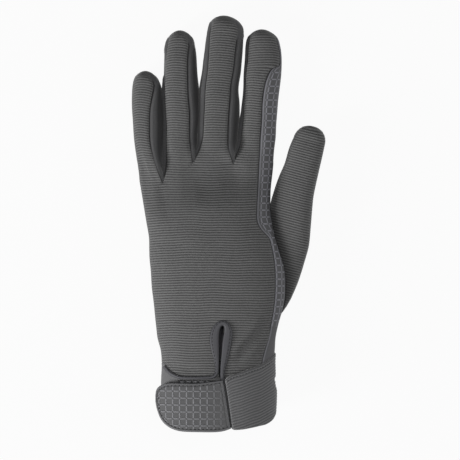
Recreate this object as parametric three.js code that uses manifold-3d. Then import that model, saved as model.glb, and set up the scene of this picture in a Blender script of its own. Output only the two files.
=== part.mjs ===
// Adult riding glove for the left hand, lying palm down with its fingers straight.
// Millimetres. +Z is up, +Y runs to the fingertips, +X to the thumb.
import * as THREE from 'three';
import Module from 'manifold-3d';

const wasm = await Module();
wasm.setup();

// Main sizes of the filled glove
const PALM_LENGTH = 149.6; // hem to the crotch beside the middle finger
const HAND_WIDTH = 71; // across the hand
const HAND_DEPTH = 29; // back to palm at the wrist
const FINGER_DEPTH = 17; // back to palm at the root of the ring finger
const THUMB_LENGTH = 49.5; // thumb crotch to thumb tip
const THUMB_WIDTH = 21;
const THUMB_DEPTH = 18.5;
const THUMB_TILT = 15; // degrees, lean of the thumb away from the fingers

// Cloth and leather
const WALL = 1.2; // knit and leather of the hand
const TAPE_THICKNESS = 0.9; // tape round the slit
const PATCH_THICKNESS = 0.8; // loop patch
const STRAP_THICKNESS = 1.5; // elastic and tab
const SEAM_GAP = 0.36; // between two panels at a seam
const LAYER_GAP = 0.5; // between two layers lying on one another
const CORNER_SETBACK = 2.2; // side walls stop this many wall thicknesses short of a crotch's ends

// Cross-section of hand, fingers and thumb: a rounded box, flat below
const SECTION = { across: 2.5, back: 2.2, front: 3, equator: 0.45, flatten: 1.1 };
const PALM_SEAM = 0.86; // seam between side wall and palm, share of the half width
const OUTER_SHOULDER = 0.95; // where the back turns into the outer side

// Mesh density
const FINGER_COLUMNS = 4; // quads across the back of one finger
const SIDE_COLUMNS = 4; // quads down one side wall

// Hand along its length. along: share of PALM_LENGTH; left, right, seam (the
// leather edge on the index side): shares of HAND_WIDTH from the middle line;
// depth: share of HAND_DEPTH
const HAND = [
  { along: 0.019, left: -0.397, right: 0.472, seam: 0.381, depth: 1.06 },
  { along: 0.109, left: -0.397, right: 0.482, seam: 0.387, depth: 1.06 },
  { along: 0.185, left: -0.394, right: 0.484, seam: 0.396, depth: 1.04 },
  { along: 0.245, left: -0.391, right: 0.491, seam: 0.404, depth: 1.01 },
  { along: 0.298, left: -0.397, right: 0.502, seam: 0.428, depth: 1.0 },
  { along: 0.343, left: -0.421, right: 0.51, seam: 0.457, depth: 0.99 },
  { along: 0.392, left: -0.434, right: 0.53, seam: 0.476, depth: 0.99 },
  { along: 0.448, left: -0.448, right: 0.563, seam: 0.497, depth: 1.0 },
  { along: 0.497, left: -0.458, right: 0.583, seam: 0.506, depth: 1.0 },
  { along: 0.542, left: -0.468, right: 0.589, seam: 0.51, depth: 1.0 },
  { along: 0.591, left: -0.476, right: 0.585, seam: 0.509, depth: 0.99 },
  { along: 0.637, left: -0.484, right: 0.57, seam: 0.5, depth: 0.98 },
  { along: 0.686, left: -0.488, right: 0.54, seam: 0.483, depth: 0.96 },
  { along: 0.72, left: -0.491, right: 0.517, seam: 0.458, depth: 0.95 },
  { along: 0.75, left: -0.5, right: 0.499, seam: 0.4, depth: 0.93 },
  { along: 0.78, left: -0.511, right: 0.485, seam: 0.368, depth: 0.91 },
  { along: 0.825, left: -0.527, right: 0.469, seam: 0.364, depth: 0.88 },
  { along: 0.878, left: -0.545, right: 0.471, seam: 0.368, depth: 0.83 },
  { along: 0.938, left: -0.569, right: 0.479, seam: 0.374, depth: 0.75 },
  { along: 1.0, left: -0.595, right: 0.492, seam: 0.38, depth: 0.66 },
];

// Seam between back and cuff. across: share of HAND_WIDTH; along: of PALM_LENGTH
const CUFF_LINE = [
  { across: -0.4, along: 0.25 },
  { across: -0.325, along: 0.215 },
  { across: -0.246, along: 0.198 },
  { across: -0.087, along: 0.196 },
  { across: 0.1, along: 0.198 },
  { across: 0.19, along: 0.2 },
  { across: 0.31, along: 0.218 },
  { across: 0.405, along: 0.235 },
  { across: 0.49, along: 0.26 },
];
const CUFF_LINE_PALM = 0.255;
const HEM = { along: 0.008, rise: 0.05, power: 6 }; // the hem rises to both sides
const CUFF_ROWS = [0, 0.5];
const HAND_ROWS = [0, 0.09, 0.18, 0.27, 0.36, 0.45, 0.53, 0.6, 0.655, 0.705, 0.76, 0.83, 0.9, 1];

// Corners between the fingers. back and palm: where the crotch meets back and
// palm, as shares of HAND_WIDTH and PALM_LENGTH; height: of HAND_DEPTH
const CORNERS = [
  { backX: -0.575, backY: 0.927, backHeight: 0.44, palmX: -0.52, palmY: 0.946 },
  { backX: -0.413, backY: 0.927, backHeight: 0.56, palmX: -0.393, palmY: 0.991 },
  { backX: -0.147, backY: 1.0, backHeight: 0.57, palmX: -0.107, palmY: 1.066 },
  { backX: 0.175, backY: 1.0, backHeight: 0.57, palmX: 0.194, palmY: 1.043 },
  { backX: 0.38, backY: 1.0, backHeight: 0.58, palmX: 0.42, palmY: 1.021 },
];
const KNUCKLE_ARCH = 0.13; // rise of a knuckle over its two corners, share of HAND_DEPTH
const CROTCH_LIFT = 0.05; // palm end of a crotch above the palm, share of HAND_DEPTH
const ROOT_TURN = 0.78; // share of the hand from which its back turns into the knuckles
const ROOT_BLEND = 0.18; // share of a finger over which its outline leaves the hand
const ROOT_SLANT = 0.5; // share over which its rows turn square to it

// Fingers. rootX, rootY: middle of the root, shares of HAND_WIDTH and
// PALM_LENGTH; lean in degrees, positive to the thumb. rows: along, share of
// the length; left, right, seamLeft, seamRight: shares of the width from the
// middle line; depth: share of FINGER_DEPTH
const FINGERS = [
  {
    name: 'little', length: 63.1, width: 17.5, rootX: -0.484, rootY: 0.927, lean: -2.8,
    rows: [
      { along: 0, left: -0.4, right: 0.36, seamLeft: -0.36, seamRight: 0.29, depth: 0.94 },
      { along: 0.16, left: -0.406, right: 0.402, seamLeft: -0.37, seamRight: 0.125, depth: 0.93 },
      { along: 0.34, left: -0.442, right: 0.472, seamLeft: -0.41, seamRight: 0.06, depth: 0.92 },
      { along: 0.51, left: -0.451, right: 0.525, seamLeft: -0.42, seamRight: 0.077, depth: 0.9 },
      { along: 0.65, left: -0.458, right: 0.535, seamLeft: -0.42, seamRight: 0.115, depth: 0.88 },
      { along: 0.76, left: -0.445, right: 0.525, seamLeft: -0.41, seamRight: 0.199, depth: 0.86 },
      { along: 0.87, left: -0.413, right: 0.469, seamLeft: -0.38, seamRight: 0.282, depth: 0.8 },
      { along: 0.95, left: -0.32, right: 0.32, seamLeft: -0.29, seamRight: 0.28, depth: 0.62 },
      { along: 1, left: -0.17, right: 0.16, seamLeft: -0.17, seamRight: 0.16, depth: 0 },
    ],
  },
  {
    name: 'ring', length: 80.6, width: 19.2, rootX: -0.258, rootY: 0.963, lean: 0.6,
    rows: [
      { along: 0, left: -0.48, right: 0.44, seamLeft: -0.46, seamRight: 0.396, depth: 1.0 },
      { along: 0.09, left: -0.42, right: 0.5, seamLeft: -0.385, seamRight: 0.357, depth: 1.0 },
      { along: 0.2, left: -0.42, right: 0.53, seamLeft: -0.367, seamRight: 0.317, depth: 0.99 },
      { along: 0.33, left: -0.408, right: 0.545, seamLeft: -0.367, seamRight: 0.308, depth: 0.97 },
      { along: 0.44, left: -0.427, right: 0.55, seamLeft: -0.395, seamRight: 0.298, depth: 0.96 },
      { along: 0.53, left: -0.45, right: 0.55, seamLeft: -0.42, seamRight: 0.264, depth: 0.95 },
      { along: 0.61, left: -0.467, right: 0.54, seamLeft: -0.43, seamRight: 0.246, depth: 0.94 },
      { along: 0.7, left: -0.456, right: 0.51, seamLeft: -0.42, seamRight: 0.234, depth: 0.92 },
      { along: 0.78, left: -0.451, right: 0.48, seamLeft: -0.41, seamRight: 0.23, depth: 0.9 },
      { along: 0.86, left: -0.434, right: 0.432, seamLeft: -0.39, seamRight: 0.25, depth: 0.85 },
      { along: 0.905, left: -0.407, right: 0.386, seamLeft: -0.36, seamRight: 0.283, depth: 0.79 },
      { along: 0.955, left: -0.33, right: 0.31, seamLeft: -0.3, seamRight: 0.27, depth: 0.6 },
      { along: 1, left: -0.17, right: 0.17, seamLeft: -0.17, seamRight: 0.17, depth: 0 },
    ],
  },
  {
    name: 'middle', length: 83.7, width: 21.4, rootX: 0.028, rootY: 1.0, lean: 4.0,
    rows: [
      { along: 0, left: -0.52, right: 0.5, seamLeft: -0.5, seamRight: 0.45, depth: 1.04 },
      { along: 0.09, left: -0.455, right: 0.528, seamLeft: -0.41, seamRight: 0.33, depth: 1.04 },
      { along: 0.18, left: -0.457, right: 0.54, seamLeft: -0.37, seamRight: 0.306, depth: 1.03 },
      { along: 0.29, left: -0.47, right: 0.555, seamLeft: -0.368, seamRight: 0.288, depth: 1.01 },
      { along: 0.41, left: -0.49, right: 0.533, seamLeft: -0.379, seamRight: 0.285, depth: 1.0 },
      { along: 0.52, left: -0.512, right: 0.482, seamLeft: -0.381, seamRight: 0.285, depth: 0.98 },
      { along: 0.64, left: -0.489, right: 0.496, seamLeft: -0.36, seamRight: 0.327, depth: 0.96 },
      { along: 0.75, left: -0.463, right: 0.506, seamLeft: -0.363, seamRight: 0.343, depth: 0.93 },
      { along: 0.845, left: -0.442, right: 0.498, seamLeft: -0.373, seamRight: 0.361, depth: 0.88 },
      { along: 0.92, left: -0.4, right: 0.46, seamLeft: -0.36, seamRight: 0.37, depth: 0.77 },
      { along: 0.962, left: -0.34, right: 0.35, seamLeft: -0.31, seamRight: 0.31, depth: 0.58 },
      { along: 1, left: -0.2, right: 0.2, seamLeft: -0.2, seamRight: 0.2, depth: 0 },
    ],
  },
  {
    name: 'index', length: 75.8, width: 20.3, rootX: 0.349, rootY: 1.0, lean: 3.2,
    rows: [
      { along: 0, left: -0.54, right: 0.5, seamLeft: -0.5, seamRight: 0.09, depth: 1.0 },
      { along: 0.1, left: -0.47, right: 0.515, seamLeft: -0.44, seamRight: 0.104, depth: 1.0 },
      { along: 0.2, left: -0.447, right: 0.528, seamLeft: -0.415, seamRight: 0.106, depth: 0.99 },
      { along: 0.32, left: -0.428, right: 0.527, seamLeft: -0.395, seamRight: 0.113, depth: 0.97 },
      { along: 0.45, left: -0.421, right: 0.534, seamLeft: -0.39, seamRight: 0.106, depth: 0.96 },
      { along: 0.58, left: -0.409, right: 0.563, seamLeft: -0.38, seamRight: 0.144, depth: 0.94 },
      { along: 0.665, left: -0.416, right: 0.583, seamLeft: -0.38, seamRight: 0.231, depth: 0.92 },
      { along: 0.725, left: -0.423, right: 0.579, seamLeft: -0.38, seamRight: 0.377, depth: 0.9 },
      { along: 0.8, left: -0.42, right: 0.558, seamLeft: -0.38, seamRight: 0.53, depth: 0.86 },
      { along: 0.874, left: -0.415, right: 0.484, seamLeft: -0.37, seamRight: 0.46, depth: 0.8 },
      { along: 0.945, left: -0.355, right: 0.37, seamLeft: -0.32, seamRight: 0.34, depth: 0.62 },
      { along: 1, left: -0.17, right: 0.17, seamLeft: -0.17, seamRight: 0.17, depth: 0 },
    ],
  },
];
const FINGER_ROWS = [0.05, 0.11, 0.18, 0.26, 0.35, 0.45, 0.55, 0.65, 0.74, 0.82, 0.89, 0.952, 1];
const FINGER_PALM_SEAM = 0.84;
const TIP_HEIGHT = 0.36; // of a fingertip over the palm, share of FINGER_DEPTH

// Thumb. along: share of THUMB_LENGTH from the thumb crotch, negative down to
// the wrist; left, right: shares of THUMB_WIDTH; bottom, top: of THUMB_DEPTH
const THUMB_ROOT = { x: 0.6326, y: 0.8175 }; // shares of HAND_WIDTH and PALM_LENGTH
const THUMB = [
  { along: -1.3, left: 0.02, right: 0.2, bottom: 0.45, top: 0.45 },
  { along: -1.19, left: -0.15, right: 0.4, bottom: 0.24, top: 0.66 },
  { along: -1.02, left: -0.3, right: 0.555, bottom: 0.18, top: 0.74 },
  { along: -0.8, left: -0.42, right: 0.655, bottom: 0.14, top: 0.82 },
  { along: -0.57, left: -0.52, right: 0.692, bottom: 0.12, top: 0.9 },
  { along: -0.35, left: -0.57, right: 0.695, bottom: 0.1, top: 0.98 },
  { along: -0.14, left: -0.58, right: 0.633, bottom: 0.09, top: 1.04 },
  { along: 0.07, left: -0.57, right: 0.528, bottom: 0.09, top: 1.04 },
  { along: 0.22, left: -0.562, right: 0.471, bottom: 0.09, top: 1.02 },
  { along: 0.36, left: -0.529, right: 0.448, bottom: 0.09, top: 0.99 },
  { along: 0.51, left: -0.481, right: 0.438, bottom: 0.1, top: 0.96 },
  { along: 0.68, left: -0.462, right: 0.424, bottom: 0.11, top: 0.91 },
  { along: 0.8, left: -0.438, right: 0.414, bottom: 0.14, top: 0.85 },
  { along: 0.89, left: -0.395, right: 0.385, bottom: 0.19, top: 0.77 },
  { along: 0.955, left: -0.29, right: 0.29, bottom: 0.28, top: 0.66 },
  { along: 1, left: -0.16, right: 0.14, bottom: 0.46, top: 0.46 },
];
const THUMB_COLUMNS = 16;
const THUMB_SEAM = 0.3; // height of the seam between back and front, share of the depth

// Slit in the back of the cuff. along: share of PALM_LENGTH; left, right: of HAND_WIDTH
const SLIT = [
  { along: -0.03, left: 0.063, right: 0.075 },
  { along: 0.24, left: 0.063, right: 0.075 },
  { along: 0.29, left: 0.066, right: 0.086 },
  { along: 0.324, left: 0.062, right: 0.092 },
  { along: 0.35, left: 0.061, right: 0.1 },
  { along: 0.376, left: 0.067, right: 0.104 },
  { along: 0.392, left: 0.084, right: 0.104 },
  { along: 0.398, left: 0.092, right: 0.1 },
];

// Tape along the cuff's top and round the slit. x, width: shares of
// HAND_WIDTH; along: share of PALM_LENGTH
const TAPE = [
  { x: -0.377, along: 0.232, width: 0.02 },
  { x: -0.325, along: 0.209, width: 0.022 },
  { x: -0.25, along: 0.197, width: 0.024 },
  { x: -0.16, along: 0.195, width: 0.024 },
  { x: -0.06, along: 0.196, width: 0.024 },
  { x: 0.012, along: 0.199, width: 0.026 },
  { x: 0.042, along: 0.212, width: 0.03 },
  { x: 0.047, along: 0.232, width: 0.032 },
  { x: 0.044, along: 0.262, width: 0.042 },
  { x: 0.036, along: 0.292, width: 0.058 },
  { x: 0.028, along: 0.324, width: 0.073 },
  { x: 0.028, along: 0.348, width: 0.073 },
  { x: 0.038, along: 0.374, width: 0.064 },
  { x: 0.064, along: 0.394, width: 0.049 },
  { x: 0.098, along: 0.4, width: 0.043 },
  { x: 0.126, along: 0.39, width: 0.049 },
  { x: 0.137, along: 0.37, width: 0.064 },
  { x: 0.132, along: 0.346, width: 0.072 },
  { x: 0.125, along: 0.322, width: 0.073 },
  { x: 0.117, along: 0.294, width: 0.065 },
  { x: 0.106, along: 0.264, width: 0.055 },
  { x: 0.096, along: 0.238, width: 0.045 },
  { x: 0.0915, along: 0.216, width: 0.037 },
  { x: 0.09, along: 0.197, width: 0.03 },
];

// Loop patch under the tab: shares of HAND_WIDTH and PALM_LENGTH
const PATCH = { left: -0.262, right: 0.035, bottom: 0.03, top: 0.186 };

// Tab, column by column from its rounded end to the elastic
const TAB = [
  { topX: -0.441, top: 0.13, bottomX: -0.441, bottom: 0.105 },
  { topX: -0.434, top: 0.147, bottomX: -0.428, bottom: 0.075 },
  { topX: -0.415, top: 0.16, bottomX: -0.398, bottom: 0.04 },
  { topX: -0.38, top: 0.17, bottomX: -0.355, bottom: 0.017 },
  { topX: -0.325, top: 0.176, bottomX: -0.299, bottom: 0.002 },
  { topX: -0.226, top: 0.176, bottomX: -0.226, bottom: -0.006 },
  { topX: -0.11, top: 0.176, bottomX: -0.09, bottom: -0.008 },
  { topX: -0.01, top: 0.181, bottomX: 0.03, bottom: -0.008 },
  { topX: 0.05, top: 0.185, bottomX: 0.1, bottom: -0.004 },
  { topX: 0.097, top: 0.188, bottomX: 0.158, bottom: 0.005 },
];
const TAB_OVERHANG = 3; // the tab stands off the cuff's outer side

// Elastic, column by column from the tab to its end on the palm side: angle
// round the cuff in degrees (90 on top) and shares of PALM_LENGTH
const ELASTIC = [
  { topAngle: 85.6, top: 0.189, bottomAngle: 78.5, bottom: 0.004 },
  { topAngle: 80, top: 0.207, bottomAngle: 75, bottom: 0.0 },
  { topAngle: 70, top: 0.219, bottomAngle: 66, bottom: 0.002 },
  { topAngle: 58, top: 0.233, bottomAngle: 56, bottom: 0.007 },
  { topAngle: 46, top: 0.245, bottomAngle: 46, bottom: 0.019 },
  { topAngle: 34, top: 0.262, bottomAngle: 34, bottom: 0.038 },
  { topAngle: 22, top: 0.276, bottomAngle: 22, bottom: 0.066 },
  { topAngle: 8, top: 0.286, bottomAngle: 8, bottom: 0.086 },
  { topAngle: -8, top: 0.292, bottomAngle: -8, bottom: 0.096 },
  { topAngle: -24, top: 0.295, bottomAngle: -24, bottom: 0.102 },
  { topAngle: -38, top: 0.297, bottomAngle: -38, bottom: 0.106 },
];
const ELASTIC_DROP = 5; // columns over which the elastic comes down from the tab's height

const MATERIALS = {
  knit: new THREE.MeshStandardMaterial({ color: 0x575756, roughness: 0.9, metalness: 0 }),
  plainKnit: new THREE.MeshStandardMaterial({ color: 0x4a4a4a, roughness: 0.9, metalness: 0 }),
  leather: new THREE.MeshStandardMaterial({ color: 0x5f5f62, roughness: 0.65, metalness: 0 }),
  cuff: new THREE.MeshStandardMaterial({ color: 0x565657, roughness: 0.8, metalness: 0 }),
  tape: new THREE.MeshStandardMaterial({ color: 0x575759, roughness: 0.7, metalness: 0 }),
  loop: new THREE.MeshStandardMaterial({ color: 0x333334, roughness: 0.95, metalness: 0 }),
  elastic: new THREE.MeshStandardMaterial({ color: 0x545454, roughness: 0.9, metalness: 0 }),
};

const mix = (a, b, t) => a + (b - a) * t;
const clamp = (value, low, high) => Math.min(high, Math.max(low, value));
const smooth = (t) => clamp(t, 0, 1) ** 2 * (3 - 2 * clamp(t, 0, 1));
const radians = (degrees) => (degrees * Math.PI) / 180;

// Value of one column of a table at a station, on a smooth curve through the rows
function columnAt(table, key, station, column) {
  const last = table.length - 1;
  if (station <= table[0][key]) return table[0][column];
  if (station >= table[last][key]) return table[last][column];
  const i = table.findIndex((row) => row[key] > station) - 1;
  const slope = (n) => {
    const before = table[Math.max(0, n - 1)];
    const after = table[Math.min(last, n + 1)];
    return (after[column] - before[column]) / (after[key] - before[key]);
  };
  const step = table[i + 1][key] - table[i][key];
  const t = (station - table[i][key]) / step;
  return (
    table[i][column] * (2 * t ** 3 - 3 * t ** 2 + 1) +
    slope(i) * step * (t ** 3 - 2 * t ** 2 + t) +
    table[i + 1][column] * (3 * t ** 2 - 2 * t ** 3) +
    slope(i + 1) * step * (t ** 3 - t ** 2)
  );
}

// Point of a rounded section at an angle: 0 right, 90 back, 180 left, below 0 palm
function sectionPoint(centre, halfWidth, bottom, top, angle) {
  const cosine = Math.cos(angle);
  const sine = Math.sin(angle);
  const across = centre + halfWidth * Math.sign(cosine) * Math.abs(cosine) ** (2 / SECTION.across);
  const middle = mix(bottom, top, SECTION.equator);
  const drop = (middle - bottom) * SECTION.flatten * Math.abs(sine) ** (2 / SECTION.front);
  const height =
    sine >= 0 ? middle + (top - middle) * sine ** (2 / SECTION.back) : Math.max(bottom, middle - drop);
  return [across, height];
}

// Angle on the back at which the section reaches a share of its half width
function angleAt(share) {
  const limited = clamp(share, -0.98, 0.98);
  return Math.acos(Math.sign(limited) * Math.abs(limited) ** (SECTION.across / 2));
}

// Size of the hand at a height y above the hem
function handAt(y) {
  const along = y / PALM_LENGTH;
  const value = (column) => columnAt(HAND, 'along', along, column);
  const left = value('left') * HAND_WIDTH;
  const right = value('right') * HAND_WIDTH;
  return {
    centre: (left + right) / 2,
    half: (right - left) / 2,
    seam: value('seam') * HAND_WIDTH,
    top: value('depth') * HAND_DEPTH,
  };
}

// Point on the hand, or on a layer lifted off it
function handPoint(y, angle, lift = 0) {
  const hand = handAt(y);
  const [x, z] = sectionPoint(hand.centre, hand.half + lift, -lift, hand.top + lift, angle);
  return new THREE.Vector3(x, y, z);
}

// Point of a layer lying on the back of the hand over the point (x, y)
function backPoint(x, y, lift, spread = 0) {
  const hand = handAt(y);
  const half = hand.half + lift + spread;
  const [, z] = sectionPoint(0, half, -lift, hand.top + lift, angleAt((x - hand.centre) / half));
  return new THREE.Vector3(x, y, z);
}

// The cage: one closed outer surface of hand and fingers, cut into labelled faces
const cage = { points: [], faces: [], keys: new Map() };

function cagePoint(p) {
  const key = [p.x, p.y, p.z].map((value) => Math.round(value * 1e4)).join();
  if (!cage.keys.has(key)) {
    cage.keys.set(key, cage.points.length);
    cage.points.push(p.clone());
  }
  return cage.keys.get(key);
}

function cageQuad(corners, label) {
  const ids = corners.map(cagePoint);
  const diagonal = (a, b) => cage.points[ids[a]].distanceTo(cage.points[ids[b]]);
  const split = diagonal(0, 2) <= diagonal(1, 3) ? [[0, 1, 2], [0, 2, 3]] : [[0, 1, 3], [1, 2, 3]];
  for (const triangle of split) {
    const [a, b, c] = triangle.map((n) => ids[n]);
    if (a !== b && b !== c && a !== c) cage.faces.push({ ids: [a, b, c], label });
  }
}

// Hand loop: back from the outer side to the leather seam, index side down,
// palm back to the outer side, outer side up
const BACK = 4 * FINGER_COLUMNS;
const LOOP = 2 * BACK + 2 * SIDE_COLUMNS;
const palmStart = BACK + SIDE_COLUMNS;
const outerStart = palmStart + BACK;

const cornerAt = (column, key) => {
  const i = Math.min(3, Math.floor(column / FINGER_COLUMNS));
  return mix(CORNERS[i][key], CORNERS[i + 1][key], column / FINGER_COLUMNS - i);
};

// One point of the hand loop. share: 0 at the cuff seam, 1 at the fingers,
// below 0 down to the hem at -1
const hemHand = handAt(HEM.along * PALM_LENGTH);
function loopPoint(column, share) {
  const up = Math.max(0, share);
  const down = Math.max(0, -share);
  const turn = smooth((up - ROOT_TURN) / (1 - ROOT_TURN));
  // Height along the hand of a column, from where it starts at the hem, cuff and fingers
  const heightOf = (cuffX, cuffAlong, rootAlong) => {
    const side = Math.min(1, Math.abs(cuffX - hemHand.centre) / hemHand.half);
    const hem = HEM.along + HEM.rise * side ** HEM.power;
    return mix(mix(cuffAlong, rootAlong, up), hem, down) * PALM_LENGTH;
  };
  const rightEdge = hemHand.centre + hemHand.half;
  if (column <= BACK) {
    const first = CORNERS[0].backX;
    const even = column / BACK;
    const shaped = (cornerAt(column, 'backX') - first) / (CORNERS[4].backX - first);
    const across = mix(CUFF_LINE[0].across, hemHand.seam / HAND_WIDTH, even);
    const cuffAlong = columnAt(CUFF_LINE, 'across', across, 'along');
    const y = heightOf(across * HAND_WIDTH, cuffAlong, cornerAt(column, 'backY'));
    const hand = handAt(y);
    const shoulder = hand.centre - hand.half * OUTER_SHOULDER;
    const x = mix(shoulder, hand.seam, mix(even, shaped, smooth(up)));
    const arch = Math.abs(Math.sin((Math.PI * column) / FINGER_COLUMNS)) * KNUCKLE_ARCH;
    const root = (cornerAt(column, 'backHeight') + arch) * HAND_DEPTH;
    const flat = backPoint(x, y, 0);
    return flat.setZ(mix(flat.z, root, turn));
  }
  if (column < palmStart) {
    const t = (column - BACK) / SIDE_COLUMNS;
    const cuffAlong = mix(CUFF_LINE[CUFF_LINE.length - 2].along, CUFF_LINE_PALM, t);
    const y = heightOf(rightEdge, cuffAlong, mix(CORNERS[4].backY, CORNERS[4].palmY, t));
    const hand = handAt(y);
    const start = angleAt((hand.seam - hand.centre) / hand.half);
    const point = handPoint(y, mix(start, -angleAt(PALM_SEAM), t));
    point.z += (CORNERS[4].backHeight * HAND_DEPTH - handPoint(y, start).z) * (1 - t) * turn;
    return point;
  }
  if (column <= outerStart) {
    const across = BACK - (column - palmStart);
    const y = heightOf(rightEdge, CUFF_LINE_PALM, cornerAt(across, 'palmY'));
    const first = CORNERS[0].palmX;
    const shaped = (cornerAt(across, 'palmX') - first) / (CORNERS[4].palmX - first);
    const spread = mix(across / BACK, shaped, smooth(up));
    const point = handPoint(y, -angleAt(mix(-PALM_SEAM, PALM_SEAM, spread)));
    const lift = across % FINGER_COLUMNS === 0 ? CROTCH_LIFT * HAND_DEPTH * turn : 0;
    return point.setZ(Math.max(point.z, lift));
  }
  const t = (column - outerStart) / SIDE_COLUMNS;
  const cuffAlong = mix(CUFF_LINE_PALM, CUFF_LINE[0].along, t);
  const y = heightOf(rightEdge, cuffAlong, mix(CORNERS[0].palmY, CORNERS[0].backY, t));
  const end = Math.PI - angleAt(OUTER_SHOULDER);
  const point = handPoint(y, mix(Math.PI + angleAt(PALM_SEAM), end, t));
  point.z += (CORNERS[0].backHeight * HAND_DEPTH - handPoint(y, end).z) * t * turn;
  return point;
}

const handShares = [...CUFF_ROWS.map((share) => share - 1), ...HAND_ROWS];
const handLoops = handShares.map((share) =>
  Array.from({ length: LOOP }, (_, column) => loopPoint(column, share)),
);
for (let row = 0; row + 1 < handLoops.length; row += 1) {
  for (let column = 0; column < LOOP; column += 1) {
    const next = (column + 1) % LOOP;
    const knit = column < BACK || column >= outerStart;
    const label = row < CUFF_ROWS.length ? 'cuff_band' : knit ? 'back_panel' : 'palm_panel';
    cageQuad(
      [handLoops[row][column], handLoops[row][next], handLoops[row + 1][next], handLoops[row + 1][column]],
      label,
    );
  }
}

// Crotch curves run from the back down to the palm between two fingers
const root = handLoops[handLoops.length - 1];
const crotches = [1, 2, 3].map((n) => {
  const back = root[n * FINGER_COLUMNS];
  const palm = root[palmStart + BACK - n * FINGER_COLUMNS];
  return Array.from({ length: SIDE_COLUMNS + 1 }, (_, step) => {
    const t = step / SIDE_COLUMNS;
    const point = back.clone().lerp(palm, t);
    point.y = mix(back.y, palm.y, t ** 0.8);
    return point;
  });
});

// One loop of a finger, in the order back, right side, palm, left side
function fingerLoop(finger, along) {
  const value = (column) => columnAt(finger.rows, 'along', along, column) * finger.width;
  const left = value('left');
  const right = value('right');
  const centre = (left + right) / 2;
  const half = (right - left) / 2;
  const top = columnAt(finger.rows, 'along', along, 'depth') * FINGER_DEPTH;
  const tip = along >= 1;
  const lean = radians(finger.lean);
  const place = (across, height) => {
    const reach = along * finger.length;
    return new THREE.Vector3(
      finger.rootX * HAND_WIDTH + reach * Math.sin(lean) + across * Math.cos(lean),
      finger.rootY * PALM_LENGTH + reach * Math.cos(lean) - across * Math.sin(lean),
      height,
    );
  };
  const arc = (start, end, steps, tipStart, tipEnd) =>
    Array.from({ length: steps }, (_, step) => {
      const t = step / steps;
      if (tip) return place(mix(tipStart, tipEnd, t), TIP_HEIGHT * FINGER_DEPTH);
      const [across, height] = sectionPoint(centre, half, 0, top, mix(start, end, t));
      return place(across, height);
    });
  const backLeft = angleAt((value('seamLeft') - centre) / half);
  const backRight = angleAt((value('seamRight') - centre) / half);
  const palmRight = -angleAt(FINGER_PALM_SEAM);
  const palmLeft = -Math.PI - palmRight;
  return [
    ...arc(backLeft, backRight, FINGER_COLUMNS, left, right),
    ...arc(backRight, palmRight, SIDE_COLUMNS, right, right),
    ...arc(palmRight, palmLeft, FINGER_COLUMNS, right, left),
    ...arc(palmLeft, backLeft - 2 * Math.PI, SIDE_COLUMNS, left, left),
  ];
}

const FINGER_LOOP = 2 * (FINGER_COLUMNS + SIDE_COLUMNS);
const gussets = ['fourchette_little_ring', 'fourchette_ring_middle', 'fourchette_middle_index'];
FINGERS.forEach((finger, n) => {
  const backAt = n * FINGER_COLUMNS;
  const palmAt = palmStart + BACK - (n + 1) * FINGER_COLUMNS;
  const rightSide = n < 3 ? crotches[n] : root.slice(BACK, palmStart + 1);
  const leftSide =
    n > 0 ? [...crotches[n - 1]].reverse() : [...root.slice(outerStart), root[0]];
  const base = [
    ...root.slice(backAt, backAt + FINGER_COLUMNS),
    ...rightSide.slice(0, SIDE_COLUMNS),
    ...root.slice(palmAt, palmAt + FINGER_COLUMNS),
    ...leftSide.slice(0, SIDE_COLUMNS),
  ];
  const start = fingerLoop(finger, 0);
  const loops = [
    base,
    ...FINGER_ROWS.map((along) => {
      const hold = 1 - smooth(along / ROOT_BLEND);
      const slant = 1 - smooth(along / ROOT_SLANT);
      const held = new THREE.Vector3(hold, slant, hold);
      return fingerLoop(finger, along).map((point, j) =>
        point.add(base[j].clone().sub(start[j]).multiply(held)),
      );
    }),
  ];
  for (let row = 0; row + 1 < loops.length; row += 1) {
    const tip = row + 2 === loops.length;
    for (let j = 0; j < FINGER_LOOP; j += 1) {
      const next = (j + 1) % FINGER_LOOP;
      let label = 'back_panel';
      if (j >= FINGER_COLUMNS && j < FINGER_COLUMNS + SIDE_COLUMNS) {
        label = n === 3 ? 'palm_panel' : tip ? 'back_panel' : gussets[n];
      } else if (j >= FINGER_COLUMNS + SIDE_COLUMNS && j < FINGER_LOOP - SIDE_COLUMNS) {
        label = 'palm_panel';
      } else if (j >= FINGER_LOOP - SIDE_COLUMNS && n > 0 && !tip) {
        label = gussets[n - 1];
      }
      cageQuad([loops[row][j], loops[row][next], loops[row + 1][next], loops[row + 1][j]], label);
    }
  }
});

// Inward offset of every cage point: the wall's thickness, longer where faces bend
const faceNormal = (face) => {
  const [a, b, c] = face.ids.map((id) => cage.points[id]);
  return b.clone().sub(a).cross(c.clone().sub(a));
};
const around = cage.points.map(() => []);
cage.faces.forEach((face) => {
  face.area = faceNormal(face);
  face.normal = face.area.clone().normalize();
  face.ids.forEach((id) => around[id].push(face));
});
const outward = cage.points.map((_, id) => {
  const normal = new THREE.Vector3();
  around[id].forEach((face) => normal.add(face.area));
  normal.normalize();
  const facing = around[id].reduce((sum, face) => sum + Math.max(0, normal.dot(face.normal)), 0);
  return normal.multiplyScalar(clamp(around[id].length / Math.max(facing, 1e-6), 1, 1.5));
});

// At both ends of a crotch the side wall is set back behind its neighbours' edges
const setbacks = new Map(
  crotches.flatMap((curve) => [curve, [...curve].reverse()]).map(([end, next]) => {
    const way = next.clone().sub(end).setLength(CORNER_SETBACK * WALL);
    return [cagePoint(end), way];
  }),
);

// Solid from plain triangles, given as corner points
function solidOf(points, triangles) {
  const positions = new Float32Array(points.flatMap((p) => [p.x, p.y, p.z]));
  const mesh = new wasm.Mesh({
    numProp: 3,
    vertProperties: positions,
    triVerts: new Uint32Array(triangles.flat()),
  });
  return new wasm.Manifold(mesh);
}

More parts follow.
